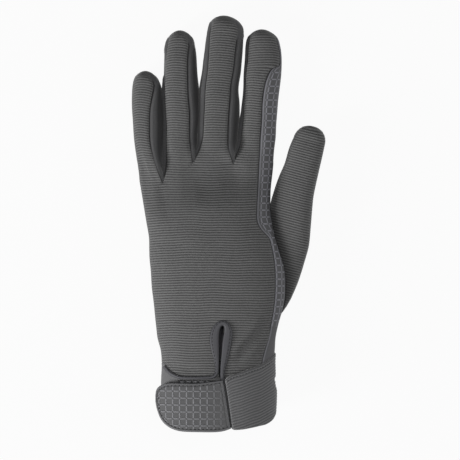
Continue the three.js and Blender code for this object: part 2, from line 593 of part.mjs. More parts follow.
// Cloth panel: the cage's faces with one label, thickened inward, its edges
// drawn back by half a seam gap
function panel(label) {
  const faces = cage.faces.filter((face) => face.label === label);
  const edges = new Map();
  faces.forEach((face) =>
    face.ids.forEach((a, n) => edges.set(`${a},${face.ids[(n + 1) % 3]}`, face)),
  );
  const rim = [...edges].filter(([key]) => !edges.has(key.split(',').reverse().join()));
  const pulls = new Map();
  rim.forEach(([key, face]) => {
    const [a, b] = key.split(',').map(Number);
    const inward = face.normal.clone().cross(cage.points[b].clone().sub(cage.points[a]).normalize());
    [a, b].forEach((id) => pulls.set(id, [...(pulls.get(id) ?? []), inward]));
  });
  const ids = [...new Set(faces.flatMap((face) => face.ids))];
  const local = new Map(ids.map((id, n) => [id, n]));
  const shift = ids.map((id) => {
    if (gussets.includes(label) && setbacks.has(id)) return setbacks.get(id);
    const pull = pulls.get(id) ?? [];
    const total = pull.reduce((sum, inward) => sum.add(inward), new THREE.Vector3());
    if (pull.length < 2) return total;
    return total.multiplyScalar(SEAM_GAP / 2 / Math.max(0.15, 1 + pull[0].dot(pull[1])));
  });
  const outer = ids.map((id, n) => cage.points[id].clone().add(shift[n]));
  const inner = ids.map((id, n) => outer[n].clone().sub(outward[id].clone().multiplyScalar(WALL)));
  const count = ids.length;
  const triangles = [];
  faces.forEach((face) => {
    const [a, b, c] = face.ids.map((id) => local.get(id));
    triangles.push([a, b, c], [a + count, c + count, b + count]);
  });
  rim.forEach(([key]) => {
    const edge = key.split(',').map(Number);
    const [a, b] = edge.map((id) => local.get(id));
    // Both panels at a seam split their rims along the same diagonal
    if (edge[0] < edge[1]) triangles.push([b, a, b + count], [a, a + count, b + count]);
    else triangles.push([b, a, a + count], [b, a + count, b + count]);
  });
  return solidOf([...outer, ...inner], triangles);
}

// Closed slab over a grid: place(u, v, side) gives the point, side 0 below, 1 above
function slab(columns, rows, place) {
  const points = [0, 1].flatMap((side) =>
    Array.from({ length: (columns + 1) * (rows + 1) }, (_, n) =>
      place((n % (columns + 1)) / columns, Math.floor(n / (columns + 1)) / rows, side),
    ),
  );
  const count = points.length / 2;
  const id = (u, v, side) => v * (columns + 1) + u + side * count;
  const triangles = [];
  const quad = (a, b, c, d) => triangles.push([a, b, c], [a, c, d]);
  for (let v = 0; v < rows; v += 1) {
    for (let u = 0; u < columns; u += 1) {
      quad(id(u, v, 1), id(u + 1, v, 1), id(u + 1, v + 1, 1), id(u, v + 1, 1));
      quad(id(u, v, 0), id(u, v + 1, 0), id(u + 1, v + 1, 0), id(u + 1, v, 0));
    }
  }
  for (let u = 0; u < columns; u += 1) {
    quad(id(u, 0, 0), id(u + 1, 0, 0), id(u + 1, 0, 1), id(u, 0, 1));
    quad(id(u + 1, rows, 0), id(u, rows, 0), id(u, rows, 1), id(u + 1, rows, 1));
  }
  for (let v = 0; v < rows; v += 1) {
    quad(id(columns, v, 0), id(columns, v + 1, 0), id(columns, v + 1, 1), id(columns, v, 1));
    quad(id(0, v + 1, 0), id(0, v, 0), id(0, v, 1), id(0, v + 1, 1));
  }
  return solidOf(points, triangles);
}

// Thumb tube, drawn in by a wall's thickness for its hollow
const tilt = radians(THUMB_TILT);
const thumbPoint = (along, across, height) =>
  new THREE.Vector3(
    THUMB_ROOT.x * HAND_WIDTH + along * Math.sin(tilt) + across * Math.cos(tilt),
    THUMB_ROOT.y * PALM_LENGTH + along * Math.cos(tilt) - across * Math.sin(tilt),
    height,
  );

function thumbTube(inset) {
  const last = THUMB.length - 1;
  const keys = new Map();
  const points = [];
  const add = (p) => {
    const key = [p.x, p.y, p.z].map((value) => Math.round(value * 1e4)).join();
    if (!keys.has(key)) {
      keys.set(key, points.length);
      points.push(p);
    }
    return keys.get(key);
  };
  const loops = THUMB.map((row, n) => {
    const end = n === 0 || n === last;
    const along = row.along * THUMB_LENGTH + (n === 0 ? 1.5 : n === last ? -1.5 : 0) * inset;
    const left = row.left * THUMB_WIDTH + (end ? 0 : inset);
    const right = row.right * THUMB_WIDTH - (end ? 0 : inset);
    const bottom = row.bottom * THUMB_DEPTH + (end ? 0 : inset);
    const top = row.top * THUMB_DEPTH - (end ? 0 : inset);
    return Array.from({ length: THUMB_COLUMNS }, (_, column) => {
      const angle = Math.PI - (column / THUMB_COLUMNS) * 2 * Math.PI;
      const [across, height] = sectionPoint((left + right) / 2, (right - left) / 2, bottom, top, angle);
      return add(thumbPoint(along, across, height));
    });
  });
  const triangles = [];
  for (let row = 0; row < last; row += 1) {
    for (let column = 0; column < THUMB_COLUMNS; column += 1) {
      const next = (column + 1) % THUMB_COLUMNS;
      const [a, b] = [loops[row][column], loops[row][next]];
      const [c, d] = [loops[row + 1][next], loops[row + 1][column]];
      triangles.push([a, b, c], [a, c, d]);
    }
  }
  return solidOf(points, triangles.filter(([a, b, c]) => a !== b && b !== c && a !== c));
}

// The hand below the fingers as one full body, grown by a gap, to trim the thumb
function handBody() {
  const rows = handLoops.slice(0, -1);
  const points = rows.flat().map((point) =>
    point.clone().add(outward[cagePoint(point)].clone().multiplyScalar(LAYER_GAP)),
  );
  const triangles = [];
  for (let row = 0; row + 1 < rows.length; row += 1) {
    for (let column = 0; column < LOOP; column += 1) {
      const next = (column + 1) % LOOP;
      const [a, b] = [row * LOOP + column, row * LOOP + next];
      triangles.push([a, b, b + LOOP], [a, b + LOOP, a + LOOP]);
    }
  }
  [0, rows.length - 1].forEach((row) => {
    const centre = points.length;
    const middle = new THREE.Vector3();
    rows[row].forEach((point) => middle.add(point));
    points.push(middle.divideScalar(LOOP));
    for (let column = 0; column < LOOP; column += 1) {
      const [a, b] = [row * LOOP + column, row * LOOP + ((column + 1) % LOOP)];
      triangles.push(row === 0 ? [b, a, centre] : [a, b, centre]);
    }
  });
  return solidOf(points, triangles);
}

// Half of the thumb's surroundings, above or below the seam between back and front
function thumbSide(above) {
  const seamHeight = (v) => {
    const row = THUMB[Math.round(v * (THUMB.length - 1))];
    return mix(row.bottom, row.top, THUMB_SEAM) * THUMB_DEPTH;
  };
  return slab(1, THUMB.length - 1, (u, v, side) => {
    const row = THUMB[Math.round(v * (THUMB.length - 1))];
    const far = above ? 3 * THUMB_DEPTH : -THUMB_DEPTH;
    const near = seamHeight(v) + (above ? 0.5 : -0.5) * SEAM_GAP;
    const height = (side === 1) === above ? far : near;
    const reach = v === 0 || v === 1 ? row.along * 1.2 : row.along;
    return thumbPoint(reach * THUMB_LENGTH, (u - 0.5) * 3 * THUMB_WIDTH, height);
  });
}

const largest = (solid) =>
  solid.decompose().reduce((best, body) => (body.volume() > best.volume() ? body : best));

const thumbHollow = thumbTube(WALL);
const thumbShell = thumbTube(0).subtract(thumbHollow).subtract(handBody());
const slit = slab(1, SLIT.length - 1, (u, v, side) => {
  const row = SLIT[Math.round(v * (SLIT.length - 1))];
  const x = mix(row.left, row.right, u) * HAND_WIDTH;
  return new THREE.Vector3(x, row.along * PALM_LENGTH, mix(0.5, 2, side) * HAND_DEPTH);
});

// Tape: flat strip following its path over the back
const tapeAt = (v) => {
  const station = v * (TAPE.length - 1);
  const rows = TAPE.map((row, n) => ({ ...row, n }));
  const value = (s, column) => columnAt(rows, 'n', s, column);
  const place = (s) =>
    new THREE.Vector3(value(s, 'x') * HAND_WIDTH, value(s, 'along') * PALM_LENGTH, 0);
  const ahead = place(Math.min(station + 0.05, TAPE.length - 1));
  const direction = ahead.sub(place(Math.max(station - 0.05, 0))).normalize();
  return {
    centre: place(station),
    aside: new THREE.Vector3(direction.y, -direction.x, 0),
    width: value(station, 'width') * HAND_WIDTH,
  };
};
const tape = slab(2, 2 * (TAPE.length - 1), (u, v, side) => {
  const { centre, aside, width } = tapeAt(v);
  const point = centre.add(aside.multiplyScalar((u - 0.5) * width));
  return backPoint(point.x, point.y, LAYER_GAP + side * TAPE_THICKNESS);
});

const patch = slab(8, 4, (u, v, side) =>
  backPoint(
    mix(PATCH.left, PATCH.right, u) * HAND_WIDTH,
    mix(PATCH.bottom, PATCH.top, v) * PALM_LENGTH,
    LAYER_GAP + side * PATCH_THICKNESS,
  ),
);

// Height of the tab's underside, above the patch
const TAB_LIFT = 2 * LAYER_GAP + PATCH_THICKNESS;
const tab = slab(2 * (TAB.length - 1), 4, (u, v, side) => {
  const rows = TAB.map((row, n) => ({ ...row, n }));
  const value = (column) => columnAt(rows, 'n', u * (TAB.length - 1), column);
  const x = mix(value('bottomX'), value('topX'), v) * HAND_WIDTH;
  const y = mix(value('bottom'), value('top'), v) * PALM_LENGTH;
  return backPoint(x, y, TAB_LIFT + side * STRAP_THICKNESS, TAB_OVERHANG * (1 - smooth(u)));
});

const elastic = slab(2 * (ELASTIC.length - 1), 4, (u, v, side) => {
  const rows = ELASTIC.map((row, n) => ({ ...row, n }));
  const value = (column) => columnAt(rows, 'n', u * (ELASTIC.length - 1), column);
  const drop = smooth((u * (ELASTIC.length - 1)) / ELASTIC_DROP);
  const lift = mix(TAB_LIFT, LAYER_GAP, drop) + side * STRAP_THICKNESS;
  const angle = radians(mix(value('bottomAngle'), value('topAngle'), v));
  return handPoint(mix(value('bottom'), value('top'), v) * PALM_LENGTH, angle, lift);
});

const back = panel('back_panel').subtract(slit);
const palm = panel('palm_panel').subtract(thumbHollow);

const pieces = {
  back_panel: [back, MATERIALS.knit],
  palm_panel: [palm, MATERIALS.leather],
  fourchette_little_ring: [panel('fourchette_little_ring'), MATERIALS.plainKnit],
  fourchette_ring_middle: [panel('fourchette_ring_middle'), MATERIALS.plainKnit],
  fourchette_middle_index: [panel('fourchette_middle_index'), MATERIALS.plainKnit],
  thumb_back: [largest(thumbShell.intersect(thumbSide(true))), MATERIALS.knit],
  thumb_front: [largest(thumbShell.intersect(thumbSide(false))), MATERIALS.leather],
  cuff_band: [panel('cuff_band').subtract(slit), MATERIALS.cuff],
  vent_binding: [tape, MATERIALS.tape],
  loop_patch: [patch, MATERIALS.loop],
  strap_elastic: [elastic, MATERIALS.elastic],
  strap_tab: [tab, MATERIALS.leather],
};

// All pieces, moved so that the glove stands centred on its lowest point
const box = new THREE.Box3();
const glove = new THREE.Group();
glove.name = 'horse_riding_glove';
Object.entries(pieces).forEach(([name, [solid, material]]) => {
  const { vertProperties, triVerts } = solid.getMesh();
  const geometry = new THREE.BufferGeometry();
  geometry.setAttribute('position', new THREE.BufferAttribute(new Float32Array(vertProperties), 3));
  geometry.setIndex(new THREE.BufferAttribute(new Uint32Array(triVerts), 1));
  geometry.computeBoundingBox();
  box.union(geometry.boundingBox);
  const mesh = new THREE.Mesh(geometry, material);
  mesh.name = name;
  glove.add(mesh);
});
const middle = box.getCenter(new THREE.Vector3());
glove.children.forEach((mesh) => {
  mesh.geometry.translate(-middle.x, -middle.y, -box.min.z);
  mesh.geometry.computeVertexNormals();
});

export default glove;
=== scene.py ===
import math

import bpy
import numpy as np
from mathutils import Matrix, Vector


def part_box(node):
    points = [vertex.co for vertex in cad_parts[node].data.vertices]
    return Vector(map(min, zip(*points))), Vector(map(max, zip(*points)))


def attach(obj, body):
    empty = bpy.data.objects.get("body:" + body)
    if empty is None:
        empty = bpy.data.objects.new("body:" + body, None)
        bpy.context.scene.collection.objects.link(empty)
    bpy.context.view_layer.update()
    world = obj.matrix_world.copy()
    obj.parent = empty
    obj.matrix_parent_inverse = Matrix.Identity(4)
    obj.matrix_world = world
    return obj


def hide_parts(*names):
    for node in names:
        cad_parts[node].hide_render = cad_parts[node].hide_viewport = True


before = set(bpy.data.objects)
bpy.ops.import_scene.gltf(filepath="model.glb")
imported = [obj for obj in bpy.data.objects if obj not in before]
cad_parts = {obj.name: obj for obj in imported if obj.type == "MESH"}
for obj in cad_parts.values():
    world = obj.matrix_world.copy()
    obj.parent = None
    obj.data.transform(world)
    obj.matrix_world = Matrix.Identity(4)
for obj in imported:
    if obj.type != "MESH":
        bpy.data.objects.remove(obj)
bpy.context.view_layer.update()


# Back of the glove
# One cut piece of ribbed polyester knit covers the back of the hand, the outer side and the
# backs of the four fingers. The ribs run straight across, 1.4 mm apart, and the edges are
# turned in and sewn to the side walls, the palm and the cuff.
PALM_LENGTH = 149.6
HAND_WIDTH = 71
HAND_DEPTH = 29
FINGER_DEPTH = 17
WALL = 1.2
RIB_PITCH = 1.41
RIB_RELIEF = 0.22
SEAM_DEPTH = 0.75
SEAM_WIDTH = 0.6
MIDDLE = 0.45  # height of a section's widest place, share of its depth
BACK_EDGE = 0.95  # outer edge of the back, share of the hand's half width
PALM_EDGE = 0.86  # both edges of the palm, share of the hand's half width
HEM = 0.008  # hem's place, share of PALM_LENGTH
HEM_RISE = 0.05  # how much higher it is at both sides
KNUCKLE_ARCH = 0.035  # rise of a knuckle over its two corners, share of HAND_DEPTH
KNUCKLES = 0.78  # the hand's sections turn into the knuckles from here on
TIP_DOME = 0.47  # length of a fingertip's dome, share of the finger's width
TIP_HEIGHT = 0.36  # height of a fingertip's end, share of FINGER_DEPTH
FINGER_PALM_EDGE = 0.84  # both edges of a finger's front, share of its half width
ROOT_HOLD = (0.45, 0.18, 0.18, 0.18)  # share of each finger over which its root fades out

# along, left edge, right edge, leather seam, depth: shares of the hand's sizes
HAND = [
    (0.019, -0.397, 0.472, 0.381, 1.06),
    (0.109, -0.397, 0.482, 0.387, 1.06),
    (0.185, -0.394, 0.484, 0.396, 1.04),
    (0.245, -0.391, 0.491, 0.404, 1.01),
    (0.298, -0.397, 0.502, 0.428, 1.0),
    (0.343, -0.421, 0.51, 0.457, 0.99),
    (0.392, -0.434, 0.53, 0.476, 0.99),
    (0.448, -0.448, 0.563, 0.497, 1.0),
    (0.497, -0.458, 0.583, 0.506, 1.0),
    (0.542, -0.468, 0.589, 0.51, 1.0),
    (0.591, -0.476, 0.585, 0.509, 0.99),
    (0.637, -0.484, 0.57, 0.5, 0.98),
    (0.686, -0.488, 0.54, 0.483, 0.96),
    (0.72, -0.491, 0.517, 0.458, 0.95),
    (0.75, -0.5, 0.499, 0.4, 0.93),
    (0.78, -0.511, 0.485, 0.368, 0.91),
    (0.825, -0.527, 0.469, 0.364, 0.88),
    (0.878, -0.545, 0.471, 0.368, 0.83),
    (0.938, -0.569, 0.479, 0.374, 0.75),
    (1.0, -0.595, 0.492, 0.38, 0.66),
]
# across, along: seam between back and cuff
CUFF_LINE = [
    (-0.4, 0.25),
    (-0.325, 0.215),
    (-0.246, 0.198),
    (-0.087, 0.196),
    (0.1, 0.198),
    (0.19, 0.2),
    (0.31, 0.218),
    (0.405, 0.235),
    (0.49, 0.26),
]
CUFF_LINE_PALM = 0.255
# back across, back along, height over the palm, palm across, palm along: between the fingers
CORNERS = np.array([
    (-0.575, 0.927, 0.44, -0.52, 0.946),
    (-0.413, 0.927, 0.56, -0.393, 0.991),
    (-0.147, 1.0, 0.57, -0.107, 1.066),
    (0.175, 1.0, 0.57, 0.194, 1.043),
    (0.38, 1.0, 0.58, 0.42, 1.021),
])
# length, width, root across, root along, lean; rows: along, left, right, left seam,
# right seam, depth
FINGERS = [
    (63.1, 17.5, -0.484, 0.927, -2.8, [
        (0, -0.4, 0.36, -0.36, 0.29, 0.94),
        (0.16, -0.406, 0.402, -0.37, 0.125, 0.93),
        (0.34, -0.442, 0.472, -0.41, 0.06, 0.92),
        (0.51, -0.451, 0.525, -0.42, 0.077, 0.9),
        (0.65, -0.458, 0.535, -0.42, 0.115, 0.88),
        (0.76, -0.445, 0.525, -0.41, 0.199, 0.86),
        (0.87, -0.413, 0.469, -0.38, 0.282, 0.8),
        (0.95, -0.32, 0.32, -0.29, 0.28, 0.76),
        (1, 0, 0, 0, 0, 0.76),
    ]),
    (80.6, 19.2, -0.258, 0.963, 0.6, [
        (0, -0.48, 0.44, -0.46, 0.396, 1.0),
        (0.09, -0.42, 0.5, -0.385, 0.357, 1.0),
        (0.2, -0.42, 0.53, -0.367, 0.317, 0.99),
        (0.33, -0.408, 0.545, -0.367, 0.308, 0.97),
        (0.44, -0.427, 0.55, -0.395, 0.298, 0.96),
        (0.53, -0.45, 0.55, -0.42, 0.264, 0.95),
        (0.61, -0.467, 0.54, -0.43, 0.246, 0.94),
        (0.7, -0.456, 0.51, -0.42, 0.234, 0.92),
        (0.78, -0.451, 0.48, -0.41, 0.23, 0.9),
        (0.86, -0.434, 0.445, -0.39, 0.25, 0.85),
        (0.905, -0.407, 0.41, -0.36, 0.283, 0.82),
        (0.955, -0.33, 0.335, -0.3, 0.28, 0.8),
        (1, 0, 0, 0, 0, 0.8),
    ]),
    (83.7, 21.4, 0.028, 1.0, 4.0, [
        (0, -0.52, 0.5, -0.5, 0.45, 1.04),
        (0.09, -0.455, 0.528, -0.41, 0.33, 1.04),
        (0.18, -0.457, 0.54, -0.37, 0.306, 1.03),
        (0.29, -0.47, 0.555, -0.368, 0.288, 1.01),
        (0.41, -0.49, 0.533, -0.379, 0.285, 1.0),
        (0.52, -0.512, 0.482, -0.381, 0.285, 0.98),
        (0.64, -0.489, 0.51, -0.36, 0.327, 0.96),
        (0.75, -0.463, 0.53, -0.363, 0.343, 0.93),
        (0.845, -0.442, 0.515, -0.373, 0.361, 0.88),
        (0.92, -0.4, 0.5, -0.36, 0.38, 0.83),
        (0.962, -0.34, 0.385, -0.31, 0.33, 0.8),
        (1, 0, 0, 0, 0, 0.8),
    ]),
    (75.8, 20.3, 0.349, 1.0, 3.2, [
        (0, -0.54, 0.5, -0.5, 0.09, 1.0),
        (0.1, -0.47, 0.515, -0.44, 0.104, 1.0),
        (0.2, -0.447, 0.528, -0.415, 0.106, 0.99),
        (0.32, -0.428, 0.527, -0.395, 0.113, 0.97),
        (0.45, -0.421, 0.534, -0.39, 0.106, 0.96),
        (0.58, -0.409, 0.563, -0.38, 0.144, 0.94),
        (0.665, -0.416, 0.583, -0.38, 0.231, 0.92),
        (0.714, -0.422, 0.58, -0.38, 0.345, 0.9),
        (0.734, -0.422, 0.577, -0.38, 0.51, 0.9),
        (0.8, -0.42, 0.558, -0.38, 0.53, 0.86),
        (0.874, -0.415, 0.52, -0.37, 0.48, 0.82),
        (0.945, -0.355, 0.43, -0.32, 0.38, 0.8),
        (1, 0, 0, 0, 0, 0.8),
    ]),
]
# along, left edge, right edge: slit in the back of the wrist
SLIT = [
    (-0.03, 0.063, 0.075),
    (0.24, 0.063, 0.075),
    (0.29, 0.066, 0.086),
    (0.324, 0.062, 0.092),
    (0.35, 0.061, 0.1),
    (0.376, 0.067, 0.104),
    (0.392, 0.084, 0.104),
    (0.398, 0.092, 0.1),
]
PATCH = {"left": -0.262, "right": 0.035, "bottom": 0.03, "top": 0.186}

# The hem's middle lies here in the shared frame: the loop patch's corner is known in both
patch_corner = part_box("loop_patch")[0] * 1000
ORIGIN = np.array([
    patch_corner.x - PATCH["left"] * HAND_WIDTH,
    patch_corner.y - PATCH["bottom"] * PALM_LENGTH,
    0.0,
])


def mix(a, b, t):
    """The value a share t of the way from a to b."""
    return a + (b - a) * t


def smooth(t):
    """0 below 0, 1 above 1, and 3 t squared less 2 t cubed between."""
    t = np.clip(t, 0, 1)
    return t * t * (3 - 2 * t)


def bell(t):
    """Bell curve: 1 at 0, and e to the power of less t squared beside it."""
    return np.exp(-(t**2))


def follow(rows, station):
    """Every further column of a table at the stations: a cubic through the rows whose slope
    at a row is that between its two neighbours."""
    rows = np.array(rows, float)
    keys, values = rows[:, 0], rows[:, 1:]
    count = len(keys)
    before = np.maximum(np.arange(count) - 1, 0)
    after = np.minimum(np.arange(count) + 1, count - 1)
    slope = (values[after] - values[before]) / (keys[after] - keys[before])[:, None]
    station = np.clip(station, keys[0], keys[-1])
    i = np.clip(np.searchsorted(keys, station, side="right") - 1, 0, count - 2)
    step = (keys[i + 1] - keys[i])[..., None]
    t = (station[..., None] - keys[i][..., None]) / step
    value = values[i] * (2 * t**3 - 3 * t**2 + 1) + slope[i] * step * (t**3 - 2 * t**2 + t)
    value = value + values[i + 1] * (3 * t**2 - 2 * t**3) + slope[i + 1] * step * (t**3 - t**2)
    return np.moveaxis(value, -1, 0)


def section(centre, half, bottom, top, angle):
    """A rounded box: across goes as the cosine to the power 0.8, height over the middle as
    the sine to 2/2.2, and height under it as the sine to 2/3, held softly at the bottom."""
    cosine, sine = np.cos(angle), np.sin(angle)
    across = centre + half * np.sign(cosine) * np.abs(cosine) ** 0.8
    middle = mix(bottom, top, MIDDLE)
    over = middle + (top - middle) * np.abs(sine) ** (2 / 2.2)
    drop = 1.1 * np.abs(sine) ** (2 / 3)
    nearness = np.maximum(0.12 - np.abs(drop - 1), 0) / 0.12
    drop = np.minimum(drop, 1) - nearness**2 * 0.12 / 4
    return across, np.where(sine >= 0, over, middle - (middle - bottom) * drop)


def angle_at(share):
    """Angle on the back at which the section reaches a share of its half width."""
    share = np.clip(share, -0.98, 0.98)
    return np.arccos(np.sign(share) * np.abs(share) ** 1.25)


def hand_at(y):
    """Centre, half width, leather seam and depth of the hand at a height over the hem."""
    left, right, seam, depth = follow(HAND, y / PALM_LENGTH)
    centre = (left + right) / 2 * HAND_WIDTH
    half = (right - left) / 2 * HAND_WIDTH
    return centre, half, seam * HAND_WIDTH, depth * HAND_DEPTH


def hand_point(y, angle, lift=0.0):
    """Point of the hand, or of a layer lifted off it, at an angle round its section."""
    centre, half, seam, top = hand_at(y)
    x, z = section(centre, half + lift, 0.0 - lift, top + lift, angle)
    return np.stack(np.broadcast_arrays(x, y, z), -1)


def back_point(x, y, lift=0.0, spread=0.0):
    """Point on the back over (x, y), on the section grown by lift, and wider by spread."""
    centre, half, seam, top = hand_at(y)
    wide = half + lift + spread
    across, z = section(0.0, wide, 0.0 - lift, top + lift, angle_at((x - centre) / wide))
    return np.stack(np.broadcast_arrays(x, y, z), -1)


hem_centre, hem_half, hem_seam, hem_top = hand_at(np.array(HEM * PALM_LENGTH))


def height_of(cuff_x, cuff_along, root_along, share):
    """Height along the hand: from the hem at share -1 over the cuff seam at 0 to the fingers
    at 1, in straight proportion, with a hem that rises to both sides."""
    side = np.minimum(1, np.abs(cuff_x - hem_centre) / hem_half)
    hem = HEM + HEM_RISE * side**6
    up, down = np.maximum(share, 0), np.maximum(-share, 0)
    return mix(mix(cuff_along, root_along, up), hem, down) * PALM_LENGTH


def corner(column, across):
    """A column of the corner table between its five rows, in straight lines."""
    return np.interp(across * 4, np.arange(5), CORNERS[:, column])


def turn_of(share):
    """How far the hand has turned into the knuckles: 0 up to KNUCKLES, 1 at the fingers."""
    return smooth((share - KNUCKLES) / (1 - KNUCKLES))


def hand_back(across, share):
    """Back of the hand: across 0 at the outer side to 1 at the leather seam."""
    up = np.maximum(share, 0)
    cuff_x = mix(CUFF_LINE[0][0], hem_seam / HAND_WIDTH, across)
    cuff_along = follow(CUFF_LINE, cuff_x)[0]
    y = height_of(cuff_x * HAND_WIDTH, cuff_along, corner(1, across), share)
    centre, half, seam, top = hand_at(y)
    shaped = (corner(0, across) - CORNERS[0, 0]) / (CORNERS[4, 0] - CORNERS[0, 0])
    x = mix(centre - half * BACK_EDGE, seam, mix(across, shaped, smooth(up)))
    arch = np.sin(math.pi * across * 4) ** 2 * KNUCKLE_ARCH
    point = back_point(x, y)
    root = (corner(2, across) + arch) * HAND_DEPTH
    point[..., 2] = mix(point[..., 2], root, turn_of(up))
    return point


def index_side(t, share):
    """Side under the index finger: t 0 at the leather seam to 1 at the palm."""
    up = np.maximum(share, 0)
    cuff_along = mix(CUFF_LINE[-2][1], CUFF_LINE_PALM, t)
    edge = hem_centre + hem_half
    y = height_of(edge, cuff_along, mix(CORNERS[4, 1], CORNERS[4, 4], t), share)
    centre, half, seam, top = hand_at(y)
    start = angle_at((seam - centre) / half)
    point = hand_point(y, mix(start, -angle_at(np.array(PALM_EDGE)), t))
    rise = CORNERS[4, 2] * HAND_DEPTH - section(centre, half, 0.0, top, start)[1]
    point[..., 2] += rise * (1 - t) * turn_of(up)
    return point


def hand_palm(across, share):
    """Palm: across 0 at the outer side to 1 at the index side."""
    up = np.maximum(share, 0)
    y = height_of(hem_centre + hem_half, CUFF_LINE_PALM, corner(4, across), share)
    shaped = (corner(3, across) - CORNERS[0, 3]) / (CORNERS[4, 3] - CORNERS[0, 3])
    spread = mix(across, shaped, smooth(up))
    point = hand_point(y, -angle_at(mix(-PALM_EDGE, PALM_EDGE, spread)))
    lift = np.cos(math.pi * across * 4) ** 16 * 0.05 * HAND_DEPTH * turn_of(up)
    point[..., 2] = np.maximum(point[..., 2], lift)
    return point


def outer_side(t, share):
    """Outer side of the hand: t 0 at the palm to 1 at the back."""
    up = np.maximum(share, 0)
    cuff_along = mix(CUFF_LINE_PALM, CUFF_LINE[0][1], t)
    edge = hem_centre + hem_half
    y = height_of(edge, cuff_along, mix(CORNERS[0, 4], CORNERS[0, 1], t), share)
    centre, half, seam, top = hand_at(y)
    end = math.pi - angle_at(np.array(BACK_EDGE))
    point = hand_point(y, mix(math.pi + angle_at(np.array(PALM_EDGE)), end, t))
    rise = CORNERS[0, 2] * HAND_DEPTH - section(centre, half, 0.0, top, end)[1]
    point[..., 2] += rise * t * turn_of(up)
    return point


def crotch(n, t):
    """Curve between two fingers from the back, t 0, down to the palm, t 1."""
    one = np.ones(1)
    back = hand_back(one * (n + 1) / 4, one)
    palm = hand_palm(one * (n + 1) / 4, one)
    point = mix(back, palm, t[..., None])
    point[..., 1] = mix(back[..., 1], palm[..., 1], t**0.8)
    return point


def finger_root(n, side, t):
    """The finger's first row, where it grows out of hand and crotches."""
    one = np.ones_like(t)
    if side == "back":
        return hand_back((n + t) / 4, one)
    if side == "right":
        return crotch(n, t) if n < 3 else index_side(t, one)
    if side == "palm":
        return hand_palm((n + 1 - t) / 4, one)
    return crotch(n - 1, 1 - t) if n > 0 else outer_side(t, one)


def finger_free(n, side, t, along):
    """A finger by itself: rounded-box sections along a straight middle line. The square of
    its half width follows the table, so the tip is round in plan, and its height closes in a
    dome that goes as a superellipse."""
    length, width, root_x, root_y, lean, rows = FINGERS[n]
    cap = 1 - TIP_DOME * width / length
    left, right, seam_left, seam_right, depth = follow(rows, np.minimum(along, cap))
    middle, reach = (left + right) / 2, (right - left) / 2
    back_left = angle_at((seam_left - middle) / reach)
    back_right = angle_at((seam_right - middle) / reach)
    table = np.array(rows)
    middles, halves = (table[:, 1] + table[:, 2]) / 2, (table[:, 2] - table[:, 1]) / 2
    centre, half = follow(np.column_stack([table[:, 0], middles, halves**2]), along)
    centre, half = centre * width, np.sqrt(np.maximum(half, 0)) * width
    over = np.clip((along - cap) / (1 - cap), 0, 1)
    dome = (1 - over**2.3) ** (1 / 2.3)
    tip = TIP_HEIGHT * FINGER_DEPTH
    bottom, top = tip * (1 - dome), mix(tip, depth * FINGER_DEPTH, dome)
    palm = -angle_at(np.array(FINGER_PALM_EDGE))
    start, end = {
        "back": (back_left, back_right),
        "right": (back_right, palm),
        "palm": (palm, -math.pi - palm),
        "left": (-math.pi - palm, back_left - 2 * math.pi),
    }[side]
    across, z = section(centre, half, bottom, top, mix(start, end, t))
    reach, tilt = along * length, math.radians(lean)
    x = root_x * HAND_WIDTH + reach * math.sin(tilt) + across * math.cos(tilt)
    y = root_y * PALM_LENGTH + reach * math.cos(tilt) - across * math.sin(tilt)
    return np.stack(np.broadcast_arrays(x, y, z), -1)


def finger(n, side, t, along):
    """A finger on the hand: the free finger, moved to its root by an amount that fades over
    ROOT_HOLD of its length, and over half its length for the slant of its rows."""
    away = finger_root(n, side, t) - finger_free(n, side, t, along * 0)
    hold, slant = 1 - smooth(along / ROOT_HOLD[n]), 1 - smooth(along / 0.5)
    return finger_free(n, side, t, along) + away * np.stack([hold, slant, hold], -1)


def finger_rows(n, step):
    """Stations along a finger: even up to the dome, then by even angles over it."""
    length, width = FINGERS[n][:2]
    cap = 1 - TIP_DOME * width / length
    shaft = np.linspace(0, cap, max(2, round(cap * length / step)))
    turn = np.linspace(0, math.pi / 2, max(6, round(0.6 * width / step)))[1:]
    return np.concatenate([shaft, cap + (1 - cap) * np.sin(turn)])


def grid(surface, columns, rows):
    """Points of a surface over every column and row parameter."""
    t, s = np.meshgrid(columns, rows)
    return surface(t, s)


def run(points, axis, from_end=False):
    """Length along the rows or columns of a grid up to each point, from one edge."""
    steps = np.linalg.norm(np.diff(points, axis=axis), axis=-1)
    total = np.insert(np.cumsum(steps, axis=axis), 0, 0, axis=axis)
    return np.take(total, [-1], axis=axis) - total if from_end else total


def to_edges(points, edges, spots=()):
    """Distance of each grid point from the sewn edges that are named, and from spots."""
    found = [np.full(points.shape[:2], 99.0)]
    if "left" in edges:
        found.append(run(points, 1))
    if "right" in edges:
        found.append(run(points, 1, True))
    if "first" in edges:
        found.append(run(points, 0))
    if "last" in edges:
        found.append(run(points, 0, True))
    found += [np.linalg.norm(points - spot, axis=-1) for spot in spots]
    return np.min(found, axis=0)


